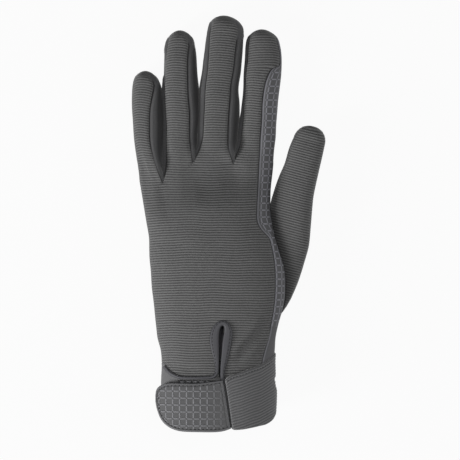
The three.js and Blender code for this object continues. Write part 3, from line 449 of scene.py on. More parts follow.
def weld(patches):
    """Joins grids into one mesh: points less than 0.001 mm apart become one, and a face
    that has lost a side becomes a triangle."""
    points = np.concatenate([p.reshape(-1, 3) for p, cloth in patches])
    cloth = np.concatenate([c.reshape(-1, 4) for p, c in patches])
    quads, start = [], 0
    for grid_points, _ in patches:
        height, width = grid_points.shape[:2]
        ids = start + np.arange(height * width).reshape(height, width)
        corners = [ids[:-1, :-1], ids[:-1, 1:], ids[1:, 1:], ids[1:, :-1]]
        quads.append(np.stack(corners, -1).reshape(-1, 4))
        start += height * width
    keys = np.round(points * 1000).astype(np.int64)
    _, first, same = np.unique(keys, axis=0, return_index=True, return_inverse=True)
    quads = same.reshape(-1)[np.concatenate(quads)]
    alike = quads == np.roll(quads, -1, axis=1)
    whole = quads[~alike.any(axis=1)]
    narrow = quads[alike.sum(axis=1) == 1]
    away = np.argmax(alike[alike.sum(axis=1) == 1], axis=1)
    keep = (away[:, None] + np.array([1, 2, 3])) % 4
    triangles = np.take_along_axis(narrow, keep, axis=1)
    return points[first], cloth[first], whole, triangles


def normals(points, quads, triangles):
    """Outward direction at each point: the sum of its faces' areas, made one long."""
    total = np.zeros_like(points)
    a, b, c, d = (points[quads[:, n]] for n in range(4))
    area = np.cross(c - a, d - b)
    for n in range(4):
        np.add.at(total, quads[:, n], area)
    if len(triangles):
        a, b, c = (points[triangles[:, n]] for n in range(3))
        for n in range(3):
            np.add.at(total, triangles[:, n], np.cross(b - a, c - a))
    return total / np.maximum(np.linalg.norm(total, axis=1), 1e-9)[:, None]


def make_piece(name, layers, material):
    """Mesh object from layers of points in millimetres, faces and cloth coordinates."""
    points, cloth, faces, start = [], [], [], 0
    for layer_points, layer_cloth, *layer_faces in layers:
        points.append(layer_points)
        cloth.append(layer_cloth)
        for group in layer_faces:
            faces += (group + start).tolist()
        start += len(layer_points)
    mesh = bpy.data.meshes.new(name)
    mesh.from_pydata(((np.concatenate(points) + ORIGIN) / 1000).tolist(), [], faces)
    mesh.polygons.foreach_set("use_smooth", np.ones(len(faces), bool))
    cloth = np.concatenate(cloth).astype(np.float32)
    attribute = mesh.attributes.new("cloth_mm", "FLOAT_VECTOR", "POINT")
    attribute.data.foreach_set("vector", cloth[:, :3].ravel())
    attribute = mesh.attributes.new("seam_mm", "FLOAT", "POINT")
    attribute.data.foreach_set("value", cloth[:, 3].copy())
    mesh.materials.append(material)
    mesh.update()
    piece = bpy.data.objects.new(name, mesh)
    bpy.context.scene.collection.objects.link(piece)
    return piece


def lifted(layer, height):
    """The layer with each point moved outwards by height(points, cloth, outward)."""
    points, cloth, quads, triangles = layer
    outward = normals(points, quads, triangles)
    return points + outward * height(points, cloth, outward)[:, None], cloth, quads, triangles


def lining(layer):
    """Inner face of a cloth panel: the same surface, moved inwards and turned round."""
    points, cloth, quads, triangles = layer
    inward = points - normals(points, quads, triangles) * WALL
    cloth = cloth * np.array([1, 1, 0, 0]) + np.array([0, 0, 0, 1.0])
    return inward, cloth, quads[:, ::-1], triangles[:, ::-1]


def sewn(distance, depth=SEAM_DEPTH, width=SEAM_WIDTH, ridge=0.16):
    """Height beside a seam: a groove that rises as a bell curve, and a low ridge behind it."""
    groove = -depth * bell(distance / width)
    return groove + ridge * bell((distance - 2.2 * width) / (1.1 * width))


def unevenness(points):
    """Nap of the cloth, 0.25 mm, on soft swells: four plane waves of 16 to 19 mm."""
    x, y, z = points.T
    waves = np.sin(x / 5.1 + y / 3.7 + 0.4) + np.sin(y / 4.4 - x / 7.9 + z / 5 + 1.9)
    waves = waves + np.sin(x / 2.9 - y / 6.1 + 2.6) + np.sin(y / 2.7 + x / 9.3 + 0.7)
    return 0.25 + 0.05 * waves


def node(tree, kind, inputs=None, **settings):
    """Adds a shader node with its settings; an input that is a socket is linked."""
    made = tree.nodes.new(kind)
    for key, value in settings.items():
        setattr(made, key, value)
    for key, value in (inputs or {}).items():
        if isinstance(value, bpy.types.NodeSocket):
            tree.links.new(value, made.inputs[key])
        else:
            made.inputs[key].default_value = value
    return made


def paint(code):
    """Linear colour of an sRGB hex value."""
    share = np.array([int(code[i:i + 2], 16) for i in (1, 3, 5)]) / 255
    linear = np.where(share <= 0.04045, share / 12.92, ((share + 0.055) / 1.055) ** 2.4)
    return (*linear, 1.0)


def start_material(name, roughness, sheen=0.0, specular=0.3):
    """New material with its shader, whose constants are set on its own sockets."""
    material = bpy.data.materials.new(name)
    material.use_nodes = True
    tree = material.node_tree
    shader = tree.nodes["Principled BSDF"]
    shader.inputs["Roughness"].default_value = roughness
    shader.inputs["Specular IOR Level"].default_value = specular
    shader.inputs["Sheen Weight"].default_value = sheen
    shader.inputs["Sheen Roughness"].default_value = 0.45
    return material, tree, shader


def shade_seams(tree, colour):
    """Darkens a colour in the last 0.4 mm before a seam, where the needle holes and the
    shadow between two edges are."""
    seam = node(tree, "ShaderNodeAttribute", attribute_name="seam_mm").outputs["Fac"]
    inputs = {"Value": seam, "From Min": 0.1, "From Max": 0.5, "To Min": 0.25}
    light = node(tree, "ShaderNodeMapRange", inputs).outputs[0]
    inputs = {"Factor": 1.0, "A": colour, "B": light}
    shaded = node(tree, "ShaderNodeMix", inputs, data_type="RGBA", blend_type="MULTIPLY")
    return shaded.outputs["Result"]


def finish_material(tree, shader, colour, height, strength, relief):
    """Links the colour, darker at the seams, and the bump of a height to the shader."""
    inputs = {"Height": height, "Strength": strength, "Distance": relief}
    bump = node(tree, "ShaderNodeBump", inputs)
    tree.links.new(shade_seams(tree, colour), shader.inputs["Base Color"])
    tree.links.new(bump.outputs["Normal"], shader.inputs["Normal"])


def start_cloth(name, grain, roughness, sheen, specular):
    """New material of a cloth with its shader, its cloth coordinates and the noise of its
    yarn. The grain gives that noise's scale per millimetre, its detail and its roughness."""
    material, tree, shader = start_material(name, roughness, sheen, specular)
    cloth = node(tree, "ShaderNodeAttribute", attribute_name="cloth_mm").outputs["Vector"]
    inputs = {"Vector": cloth, "Scale": grain[0], "Detail": grain[1], "Roughness": grain[2]}
    yarn = node(tree, "ShaderNodeTexNoise", inputs).outputs["Fac"]
    return material, tree, shader, cloth, yarn


def finish_cloth(tree, shader, share, dyes, yarn, strength, relief, tone=None):
    """Colour between two dyes by a share, times a tone where there is one, with the yarn's
    noise as bump."""
    inputs = {"Factor": share, "A": paint(dyes[0]), "B": paint(dyes[1])}
    colour = node(tree, "ShaderNodeMix", inputs, data_type="RGBA").outputs["Result"]
    if tone is not None:
        inputs = {"Factor": 1.0, "A": colour, "B": tone}
        toned = node(tree, "ShaderNodeMix", inputs, data_type="RGBA", blend_type="MULTIPLY")
        colour = toned.outputs["Result"]
    finish_material(tree, shader, colour, yarn, strength, relief)


def rib_wave(tree, cloth, pitch):
    """The cloth coordinates as three sockets, and the cosine of the rib place over a pitch."""
    place = node(tree, "ShaderNodeSeparateXYZ", {"Vector": cloth}).outputs
    inputs = {0: place["Y"], 1: math.tau / pitch}
    turns = node(tree, "ShaderNodeMath", inputs, operation="MULTIPLY").outputs[0]
    return place, node(tree, "ShaderNodeMath", {0: turns}, operation="COSINE").outputs[0]


def rib_knit_material():
    """Polyester double knit, dyed grey: matt, with a soft sheen where it turns away. Each rib
    is a row of small loops. Painted shade darkens the grooves between ribs, less so next to a
    seam."""
    material, tree, shader, cloth, loops = start_cloth(
        "grey_rib_knit", (1.6, 2.0, 0.7), 0.88, 0.22, 0.2
    )
    place, wave = rib_wave(tree, cloth, RIB_PITCH)
    # painted shade: the colour's rib wave is darkest in the grooves, with less contrast near a
    # seam
    inputs = {"Value": place["Z"], "From Max": 1.5, "To Min": 0.1, "To Max": 0.42}
    ribbed = node(tree, "ShaderNodeMapRange", inputs).outputs[0]
    inputs = {0: wave, 1: ribbed, 2: -0.15}
    raised = node(tree, "ShaderNodeMath", inputs, operation="MULTIPLY_ADD").outputs[0]
    inputs = {0: loops, 1: 1.3, 2: raised}
    share = node(tree, "ShaderNodeMath", inputs, operation="MULTIPLY_ADD").outputs[0]
    finish_cloth(tree, shader, share, ("#303030", "#636363"), loops, 0.5, 0.0003)
    return material


rib_knit = rib_knit_material()


def rib_place(points):
    """Rib coordinate in millimetres: height along the hand, with ribs that drop a little to
    the outer side and wander by slow plane waves."""
    x, y = points[..., 0], points[..., 1]
    drop = 1.2 * smooth((-22 - x) / 16) * (1 - smooth((y - 100) / 40))
    wander = 0.16 * np.sin(x / 6.3 + y / 17) + 0.12 * np.sin(x / 2.9 - y / 23 + 1.1)
    return y + drop + wander


def tip_share(points):
    """1 at the end of a finger and 0 from a tenth of its length down: there the seams run
    together, and neither their grooves nor the ribs are seen any more."""
    share = np.zeros(points.shape[:-1])
    for length, width, root_x, root_y, lean, rows in FINGERS:
        sine, cosine = math.sin(math.radians(lean)), math.cos(math.radians(lean))
        x, y = points[..., 0] - root_x * HAND_WIDTH, points[..., 1] - root_y * PALM_LENGTH
        close = np.abs(x * cosine - y * sine) < 0.7 * width
        reach = (x * sine + y * cosine) / length
        share = np.maximum(share, smooth((reach - 0.9) / 0.08) * close)
    return share


def knit_cloth(points, edges, spots=(), arch=0.0):
    """Cloth coordinates of a knit grid: across, rib place, and distance from its seams, once
    for the relief, where the fingertips have none, and once for the seams' shade."""
    distance, tip = to_edges(points, edges, spots), tip_share(points)
    across, place = points[..., 0], rib_place(points) + arch
    return np.stack([across, place, distance * (1 - tip), distance + 2.5 * tip], -1)


def finger_arch(t, rows):
    """How far the ribs drop to both edges of a finger: as the square of the distance from
    its middle, more towards the tip, up to 1.7 mm."""
    most = 0.9 * smooth(rows / 0.4) + 0.8 * smooth((rows - 0.5) / 0.5)
    return (2 * t[None, :] - 1) ** 2 * most[:, None]


FOLD_DEPTH = 2.0
FOLD_RIDGE = 0.7
DIP_DEPTH = 0.8


def wrist_folds(points):
    """Folds at the wrist: a diagonal valley towards the index side, between two low ridges,
    and a dip over the cuff, all as bell curves."""
    start, end = np.array([33.0, 61.0]), np.array([13.0, 38.5])
    way = (end - start) / np.linalg.norm(end - start)
    away = points[:, :2] - start
    along = away @ way / np.linalg.norm(end - start)
    off = away @ np.array([-way[1], way[0]])
    length = smooth(along / 0.25) * smooth((1.05 - along) / 0.35)
    fold = -FOLD_DEPTH * bell(off / 2.2) + FOLD_RIDGE * bell((np.abs(off) - 4.6) / 2.3)
    x, y, z = points.T
    dip = -DIP_DEPTH * np.exp(-(((x + 13.5) / 6.5) ** 2) - ((y - 34.5) / 2.4) ** 2)
    return np.where(z > 12, fold * length + dip, 0)


def knit_relief(points, cloth, outward):
    """Height of the knit: the ribs' wave, which fades at a seam, the seams, and the folds."""
    ribs = RIB_RELIEF / 2 * np.cos(cloth[:, 1] * math.tau / RIB_PITCH)
    ribs = ribs * smooth(cloth[:, 2] / 0.8) * np.clip(np.abs(outward[:, 2]) * 2 + 0.3, 0, 1)
    seams = sewn(cloth[:, 2]) * (1 - tip_share(points))
    return ribs + seams + unevenness(points) + wrist_folds(points)


SLIT_GROWN = 0.35  # the cloth ends this far outside the slit, under the binding


def in_slit(points):
    """True on the back inside the slit's outline, grown by SLIT_GROWN."""
    left, right = follow(SLIT, points[:, 1] / PALM_LENGTH)
    x, y, z = points.T
    inside = (x > left * HAND_WIDTH - SLIT_GROWN) & (x < right * HAND_WIDTH + SLIT_GROWN)
    return inside & (z > 15) & (y < SLIT[-1][0] * PALM_LENGTH + SLIT_GROWN)


def crotch_spots():
    """The three points where a crotch starts on the back."""
    one = np.ones(1)
    return [hand_back(one * n / 4, one)[0] for n in (1, 2, 3)]


KNIT_STEP = 0.18  # rows this far apart show the ribs as a wave
INSIDE_STEP = 1.5


def back_patches(step, per_finger, per_side):
    """Grids of the back: hand, outer side, the fingers' backs and the little finger's side."""
    up = np.linspace(0, 1, round(114 / step))
    across = np.linspace(0, 1, 4 * per_finger + 1)
    side = np.linspace(0, 1, per_side + 1)
    t = np.linspace(0, 1, per_finger + 1)
    hand = grid(hand_back, across, up)
    outer = grid(outer_side, side, up)
    patches = [
        (hand, knit_cloth(hand, ("right",), crotch_spots())),
        (outer, knit_cloth(outer, ("left",))),
    ]
    for n in range(4):
        rows = finger_rows(n, step)
        back = grid(lambda c, r: finger(n, "back", c, r), t, rows)
        edges = ("right",) if n == 0 else ("left", "right")
        patches.append((back, knit_cloth(back, edges, (), finger_arch(t, rows))))
        if n == 0:
            left = grid(lambda c, r: finger(0, "left", c, r), side, rows)
            arch = finger_arch(np.zeros(len(side)), rows)
            patches.append((left, knit_cloth(left, ("left",), (), arch)))
    return patches


def without(layer, gone):
    """The layer less the faces whose middle is in a region."""
    points, cloth, quads, triangles = layer
    keep = ~gone(points[quads].mean(axis=1))
    return points, cloth, quads[keep], triangles


outside = without(lifted(weld(back_patches(KNIT_STEP, 12, 9)), knit_relief), in_slit)
inside = without(lining(weld(back_patches(INSIDE_STEP, 12, 9))), in_slit)
back_panel = make_piece("back_panel_knit", [outside, inside], rib_knit)
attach(back_panel, "root")
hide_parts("back_panel")


# Side walls between the fingers
# Three narrow pieces of plain knit, each sewn round from one finger over the crotch to the
# next one. They are smooth, without ribs, and sit deeper than the backs of the fingers.
def plain_knit_material():
    """Plain polyester jersey of the same yarn: matt, with fine loops. Painted shade keeps it light
    beside the seam and darker from 1.2 to 4 mm behind it, where the wall folds in between fingers."""
    material, tree, shader, cloth, loops = start_cloth(
        "grey_plain_knit", (1.9, 2.0, 0.65), 0.9, 0.25, 0.15
    )
    place = node(tree, "ShaderNodeSeparateXYZ", {"Vector": cloth}).outputs
    # painted shade: darker from 1.2 to 4 mm from the seam, deep between two fingers
    inputs = {"Value": place["Z"], "From Min": 1.2, "From Max": 4.0, "To Min": 1.0, "To Max": 0.4}
    painted_wall_shade = node(tree, "ShaderNodeMapRange", inputs).outputs[0]
    finish_cloth(tree, shader, loops, ("#3a3a3b", "#575758"), loops, 0.4, 0.0003, painted_wall_shade)
    return material


plain_knit = plain_knit_material()


def wall_patches(n, step, columns):
    """Grids of one side wall: the right side of a finger and the left side of the next."""
    t = np.linspace(0, 1, columns + 1)
    patches = []
    for finger_number, side in ((n, "right"), (n + 1, "left")):
        rows = finger_rows(finger_number, step)
        points = grid(lambda c, r: finger(finger_number, side, c, r), t, rows)
        patches.append((points, knit_cloth(points, ("left", "right"))))
    return patches


# outward swell of the wall's right-facing and left-facing half, and the height up to which the
# two touch
SWELL = [(0.5, 1.9, 188), (0.7, 0.9, 190), (0.6, 1.8, 176)]


def wall_layer(n, step, columns):
    """One side wall: between its seams the cloth swells towards the next finger, as one less
    a bell curve of the distance from the seam, and less above the height where they touch.
    Its painted shade is kept only on the half that faces right, away from the key light."""
    points, cloth, quads, triangles = weld(wall_patches(n, step, columns))
    outward = normals(points, quads, triangles)
    facing_right, facing_left, touch = SWELL[n]
    most = np.where(outward[:, 0] > 0, facing_right, facing_left) * np.abs(outward[:, 0])
    low = smooth((touch + 14 - points[:, 1]) / 24)
    swell = most * low * (1 - bell(cloth[:, 2] / 2))
    seams = sewn(cloth[:, 2], width=0.7, ridge=0.75) * (1 - tip_share(points))
    points = points + outward * (seams + unevenness(points) + swell)[:, None]
    # painted shade: the darkening distance counts only where the wall faces right
    cloth[:, 2] = cloth[:, 2] * smooth(2 * outward[:, 0] - 0.3)
    return points, cloth, quads, triangles


for n, wall_name in enumerate(("little_ring", "ring_middle", "middle_index")):
    layers = [wall_layer(n, 0.6, 14), lining(wall_layer(n, 2, 8))]
    wall = make_piece(f"wall_{wall_name}", layers, plain_knit)
    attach(wall, "root")
    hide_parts(f"fourchette_{wall_name}")


# Palm
# One piece of thin synthetic leather covers the palm and the fronts of the fingers and comes
# round the index side to the back. Its face carries a raised grid of 3.9 mm squares for grip,
# with open corners and a bare margin beside every seam.
GRID_PITCH = 3.88
GRID_LINE = 0.8


def leather_material(name, low, high, print_and_highlight_colour, fade=None):
    """Synthetic leather with a fine grain and a faint gloss. The printed grid is paler and
    raised, ends 1.5 mm before a seam, and runs out between the two places of a fade. A
    thin pale line beside a seam is a painted highlight on the turned-in edge."""
    material, tree, shader, cloth, blotch = start_cloth(name, (0.9, 3.0, 0.5), 0.66, 0.0, 0.3)
    place = node(tree, "ShaderNodeSeparateXYZ", {"Vector": cloth}).outputs
    away = []
    for axis in ("X", "Y"):
        inputs = {0: place[axis], 1: GRID_PITCH / 2}
        away.append(node(tree, "ShaderNodeMath", inputs, operation="PINGPONG").outputs[0])
    lines = []
    for own, other in (away, away[::-1]):
        inputs = {"Value": own, "From Min": GRID_LINE * 0.6, "From Max": GRID_LINE * 0.25}
        line = node(tree, "ShaderNodeMapRange", inputs).outputs[0]
        inputs = {"Value": other, "From Min": 0.35, "From Max": 0.6}
        open_corner = node(tree, "ShaderNodeMapRange", inputs).outputs[0]
        inputs = {0: line, 1: open_corner}
        lines.append(node(tree, "ShaderNodeMath", inputs, operation="MULTIPLY").outputs[0])
    inputs = {0: lines[0], 1: lines[1]}
    mask = node(tree, "ShaderNodeMath", inputs, operation="MAXIMUM").outputs[0]
    limits = [(place["Z"], 1.5, 1.9)]
    if fade is not None:
        limits.append((place["X"], *fade))
    for value, bare, printed in limits:
        inputs = {"Value": value, "From Min": bare, "From Max": printed}
        limit = node(tree, "ShaderNodeMapRange", inputs).outputs[0]
        inputs = {0: mask, 1: limit}
        mask = node(tree, "ShaderNodeMath", inputs, operation="MULTIPLY").outputs[0]
    # painted highlight: a thin pale line 0.4 to 1.3 mm from a seam, in the print's colour
    seam = node(tree, "ShaderNodeAttribute", attribute_name="seam_mm").outputs["Fac"]
    inputs = {"Value": seam, "From Min": 0.4, "From Max": 0.6}
    begins = node(tree, "ShaderNodeMapRange", inputs).outputs[0]
    inputs = {"Value": seam, "From Min": 1.3, "From Max": 0.9, "To Max": 0.6}
    ends = node(tree, "ShaderNodeMapRange", inputs).outputs[0]
    rim = node(tree, "ShaderNodeMath", {0: begins, 1: ends}, operation="MULTIPLY").outputs[0]
    colour = paint(low)
    for share, coat in ((blotch, high), (mask, print_and_highlight_colour), (rim, print_and_highlight_colour)):
        inputs = {"Factor": share, "A": colour, "B": paint(coat)}
        colour = node(tree, "ShaderNodeMix", inputs, data_type="RGBA").outputs["Result"]
    grain = node(tree, "ShaderNodeTexVoronoi", {"Vector": cloth, "Scale": 1.8}).outputs["Distance"]
    inputs = {0: grain, 1: 0.25, 2: mask}
    height = node(tree, "ShaderNodeMath", inputs, operation="MULTIPLY_ADD").outputs[0]
    finish_material(tree, shader, colour, height, 0.6, 0.00025)
    return material


grip_leather = leather_material("grip_leather", "#424244", "#515153", "#78787e")


def leather_cloth(points, edges, seams, strip=False):
    """Cloth coordinates of a leather grid. On the palm they are plain distances; on a side,
    across is the length from the seam, so the grid runs beside it, closer to it under the
    thumb, where the strip is narrow."""
    margin, seam = to_edges(points, edges), to_edges(points, seams)
    across = points[..., 0]
    if strip:
        narrow = 1 - smooth((points[..., 1] - 105) / 6)
        across = run(points, 1) - mix(2.6, 0.9, narrow)
        margin = np.minimum(run(points, 1) + 1.6 * narrow, run(points, 1, True))
        margin = np.minimum(margin, points[..., 1] - 56)
    return np.stack([across, points[..., 1] + 0.9, margin, seam], -1)


def palm_patches(step, per_finger, per_side):
    """Grids of the palm: hand, index side, the fingers' fronts and the index finger's side."""
    up = np.linspace(0, 1, round(114 / step))
    across = np.linspace(1, 0, 4 * per_finger + 1)
    side = np.linspace(0, 1, per_side + 1)
    t = np.linspace(0, 1, per_finger + 1)
    hand = grid(hand_palm, across, up)
    strip = grid(index_side, side, up)
    patches = [
        (hand, leather_cloth(hand, ("left", "right", "first"), ("right", "first"))),
        (strip, leather_cloth(strip, (), ("left", "first"), True)),
    ]
    for n in range(4):
        rows = finger_rows(n, step)
        front = grid(lambda c, r: finger(n, "palm", c, r), t, rows)
        seams = ("right",) if n == 3 else ("left", "right")
        patches.append((front, leather_cloth(front, ("left", "right"), seams)))
        if n == 3:
            right = grid(lambda c, r: finger(3, "right", c, r), side, rows)
            patches.append((right, leather_cloth(right, (), ("left",), True)))
    return patches


THUMB_LENGTH = 49.5
THUMB_WIDTH = 21
THUMB_DEPTH = 18.5
THUMB_TILT = math.radians(15)
THUMB_ROOT = (0.6326 * HAND_WIDTH, 0.8175 * PALM_LENGTH)
# along, left, right, bottom, top: shares of the thumb's sizes
THUMB = [
    (-1.3, 0.02, 0.2, 0.45, 0.45),
    (-1.19, -0.15, 0.4, 0.24, 0.66),
    (-1.02, -0.3, 0.555, 0.18, 0.74),
    (-0.8, -0.42, 0.655, 0.14, 0.82),
    (-0.57, -0.52, 0.692, 0.12, 0.9),
    (-0.35, -0.57, 0.695, 0.1, 0.98),
    (-0.14, -0.58, 0.633, 0.09, 1.04),
    (0.07, -0.57, 0.528, 0.09, 1.04),
    (0.22, -0.562, 0.471, 0.09, 1.02),
    (0.36, -0.529, 0.448, 0.09, 0.99),
    (0.51, -0.481, 0.438, 0.1, 0.96),
    (0.68, -0.462, 0.424, 0.11, 0.91),
    (0.8, -0.438, 0.414, 0.14, 0.85),
    (0.89, -0.41, 0.4, 0.18, 0.79),
    (1.0, -0.38, 0.38, 0.2, 0.74),
]
THUMB_CAP = 0.83  # the dome of the tip starts here
THUMB_ROLL = 0.26  # height gained for each millimetre across
THUMB_SEAM = 0.3  # height of the seams, share of the section's depth
THUMB_START = -1.28  # first row, inside the hand
THUMB_INSET = 2.0  # the palm is open inside the thumb, drawn in by this much
LEATHER_SEAM = 0.45  # width of the groove beside a seam in leather


def thumb_size(along):
    """Left, right, bottom and top of the thumb in millimetres at a share of its length,
    closed at the tip by a dome."""
    left, right, bottom, top = follow(THUMB, np.minimum(along, THUMB_CAP))
    over = np.clip((along - THUMB_CAP) / (1 - THUMB_CAP), 0, 1)
    dome = (1 - over**2.2) ** (1 / 2.2)
    middle = (left + right) / 2
    tip = mix(bottom, top, MIDDLE)
    left, right = mix(middle, left, dome), mix(middle, right, dome)
    bottom, top = mix(tip, bottom, dome), mix(tip, top, dome)
    return left * THUMB_WIDTH, right * THUMB_WIDTH, bottom * THUMB_DEPTH, top * THUMB_DEPTH


def thumb_point(along, angle):
    """Point of the thumb: a rounded-box section square to its leaning middle line. It is
    rolled by THUMB_ROLL, so its outer edge lies higher and its back faces the hand a little."""
    left, right, bottom, top = thumb_size(along)
    across, z = section((left + right) / 2, (right - left) / 2, bottom, top, angle)
    z = z + THUMB_ROLL * (across - (left + right) / 2) * smooth((along + 0.9) / 0.8)
    reach = along * THUMB_LENGTH
    x = THUMB_ROOT[0] + reach * math.sin(THUMB_TILT) + across * math.cos(THUMB_TILT)
    y = THUMB_ROOT[1] + reach * math.cos(THUMB_TILT) - across * math.sin(THUMB_TILT)
    return np.stack(np.broadcast_arrays(x, y, z), -1)


def in_thumb(points):
    """True inside the thumb's rounded-box section, drawn in by THUMB_INSET."""
    dx, dy = points[:, 0] - THUMB_ROOT[0], points[:, 1] - THUMB_ROOT[1]
    along = (dx * math.sin(THUMB_TILT) + dy * math.cos(THUMB_TILT)) / THUMB_LENGTH
    across = dx * math.cos(THUMB_TILT) - dy * math.sin(THUMB_TILT)
    left, right, bottom, top = thumb_size(along)
    half, middle = (right - left) / 2 - THUMB_INSET, mix(bottom, top, MIDDLE)
    reach = np.where(points[:, 2] > middle, top - middle, middle - bottom) - THUMB_INSET
    wide = np.abs(across - (left + right) / 2) / np.maximum(half, 0.01)
    high = np.abs(points[:, 2] - middle) / np.maximum(reach, 0.01)
    return (wide**2.5 + high**2.4 < 1) & (along > -1.25) & (along < 1)


def palm_relief(points, cloth, outward):
    """Height of the palm's leather: its seams, gone at the fingertips, and its swells."""
    return sewn(cloth[:, 3], width=LEATHER_SEAM) * (1 - tip_share(points)) + unevenness(points)


outside = without(lifted(weld(palm_patches(0.6, 12, 16)), palm_relief), in_thumb)
inside = without(lining(weld(palm_patches(2, 12, 8))), in_thumb)
palm_panel = make_piece("palm_leather", [outside, inside], grip_leather)
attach(palm_panel, "root")
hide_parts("palm_panel")


# Thumb
# The back of the thumb is rib knit with its ribs square to the thumb, and the front is
# leather. Both are sewn together along the thumb's sides and into the side of the hand.
def leaves_hand(along):
    """Angle on the thumb's back at which it comes out of the hand, found where the hand's
    own rounded box, an implicit function of the point, changes sign."""
    angle = np.linspace(math.pi, 0, 721)
    a, s = np.meshgrid(angle, along)
    point = thumb_point(s, a)
    centre, half, seam, top = hand_at(point[..., 1])
    middle = MIDDLE * top
    high = (point[..., 2] - middle) / (top - middle)
    low = (middle - point[..., 2]) / (middle * 1.1)
    high = np.where(high > 0, np.abs(high) ** 2.2, np.abs(low) ** 3)
    value = (np.abs(point[..., 0] - centre) / half) ** 2.5 + high
    inside = (value < 1) & (point[..., 0] > centre) & (point[..., 1] < 0.99 * PALM_LENGTH)
    last = len(angle) - 1 - np.argmax(inside[:, ::-1], axis=1)
    return np.where(inside.any(axis=1), angle[last], math.pi)


def thumb_rows(step):
    """Stations along the thumb: even to the dome, then by even angles over it."""
    count = round((THUMB_CAP - THUMB_START) * THUMB_LENGTH / step)
    turn = np.linspace(0, math.pi / 2, max(8, round(12 / step)))[1:]
    dome = THUMB_CAP + (1 - THUMB_CAP) * np.sin(turn) ** (2 / 2.2)
    return np.concatenate([np.linspace(THUMB_START, THUMB_CAP, count), dome])


def thumb_grid(step, columns, front):
    """Grid of the thumb's back, from where it leaves the hand to its outer seam, or of its
    front, from the outer seam under the thumb and back to the hand."""
    rows = thumb_rows(step)
    start = leaves_hand(rows)
    window = np.ones(9) / 9
    padded = np.pad(start, 4, mode="edge")
    start = np.convolve(padded, window, mode="valid")
    start = np.minimum(start + 0.05, math.pi + 0.05)
    share = (MIDDLE - THUMB_SEAM) / MIDDLE
    seam = -np.arcsin((share / 1.1) ** 1.5) * np.ones_like(rows)
    t, s = np.meshgrid(np.linspace(0, 1, columns + 1), rows)
    if front:
        angle = mix(seam[:, None], (-math.pi - seam)[:, None], t)
    else:
        free = math.pi - seam
        blend = smooth((rows - 0.02) / 0.1)
        begin = mix(np.minimum(start, free), free, blend)
        angle = mix(begin[:, None], seam[:, None], t)
    return thumb_point(s, angle), s


def thumb_patches(step, columns, front):
    """The thumb's grid with its cloth coordinates, which follow the thumb. Its back gets painted
    shade along its inner seam, over 9 mm, where the hand shades it."""
    points, along = thumb_grid(step, columns, front)
    distance = np.minimum(run(points, 1), run(points, 1, True))
    # painted shade: the seam distance grows slowly from the inner edge, so the seam darkening
    # spreads over 9 mm
    seam = distance if front else np.minimum(distance, 0.1 + 0.045 * run(points, 1))
    across = run(points, 1) if not front else points[..., 0]
    place = along * THUMB_LENGTH if not front else points[..., 1]
    return [(points, np.stack([across, place, distance, seam], -1))]


outside = lifted(weld(thumb_patches(KNIT_STEP, 30, False)), knit_relief)
inside = lining(weld(thumb_patches(2, 16, False)))
thumb_back = make_piece("thumb_back_knit", [outside, inside], rib_knit)
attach(thumb_back, "root")
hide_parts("thumb_back")

front = weld(thumb_patches(0.7, 24, True))
outside = lifted(front, lambda points, cloth, outward: sewn(cloth[:, 2], width=LEATHER_SEAM))
inside = lining(weld(thumb_patches(2, 16, True)))
thumb_front = make_piece("thumb_front_leather", [outside, inside], grip_leather)
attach(thumb_front, "root")
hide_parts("thumb_front")


# Cuff
# A band of firm plain cloth goes once round the wrist and ends at both edges of the slit.
# It is turned over at the hem and sewn to back and palm at its top.
def even_cloth(name, grain, surface, dyes, bump):
    """A cloth whose colour follows the noise of its yarn alone. The surface is roughness,
    sheen and specular level, and the bump its strength and its height in metres."""
    material, tree, shader, cloth, yarn = start_cloth(name, grain, *surface)
    finish_cloth(tree, shader, yarn, dyes, yarn, *bump)
    return material


# Firm brushed tricot: matt and dark, with a very fine grain
cuff_tricot = even_cloth(
    "cuff_tricot", (2.2, 2.0, 0.5), (0.85, 0.2, 0.2), ("#4a4a4b", "#646465"), (0.4, 0.0003)
)


def cuff_patches(step, columns):
    """Grids round the wrist, from the slit's right edge by the index side, the palm and the
    outer side to its left edge."""
    low, high = SLIT[0][1] * HAND_WIDTH, SLIT[0][2] * HAND_WIDTH
    outer = hem_centre - hem_half * BACK_EDGE
    span = hem_seam - outer
    rows = np.linspace(-1, 0, round(34 / step))
    first = np.linspace((high - outer) / span, 1, columns)
    last = np.linspace(0, (low - outer) / span, columns)
    side = np.linspace(0, 1, columns)
    whole = np.linspace(1, 0, 2 * columns)
    grids = [
        grid(hand_back, first, rows),
        grid(index_side, side, rows),
        grid(hand_palm, whole, rows),
        grid(outer_side, side, rows),
        grid(hand_back, last, rows),
    ]
    patches = []
    for points in grids:
        distance = np.minimum(run(points, 0), run(points, 0, True))
        across = points[..., 0] + points[..., 2]
        patches.append((points, np.stack([across, points[..., 1], distance, distance], -1)))
    return patches


def cuff_relief(points, cloth, outward):
    """Height of the cuff: shallow seams at hem and top, and half the swells of the knit."""
    return sewn(cloth[:, 2], 0.5, 0.4) + 0.5 * unevenness(points)


outside = lifted(weld(cuff_patches(0.5, 20)), cuff_relief)
cuff = make_piece("cuff_band_cloth", [outside], cuff_tricot)
thickness = cuff.modifiers.new("thickness", "SOLIDIFY")
thickness.thickness = WALL / 1000
thickness.offset = -1
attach(cuff, "root")
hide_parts("cuff_band")


# Binding
# Folded synthetic leather tape is sewn along the top of the cuff and round the slit, where
# it wraps the edge. It is crowned, with a line of stitches near its outer edge.
LAYER_GAP = 0.5
TAPE_THICKNESS = 0.9
TAPE_STITCHES = 0.24  # the stitches' place, share of the width
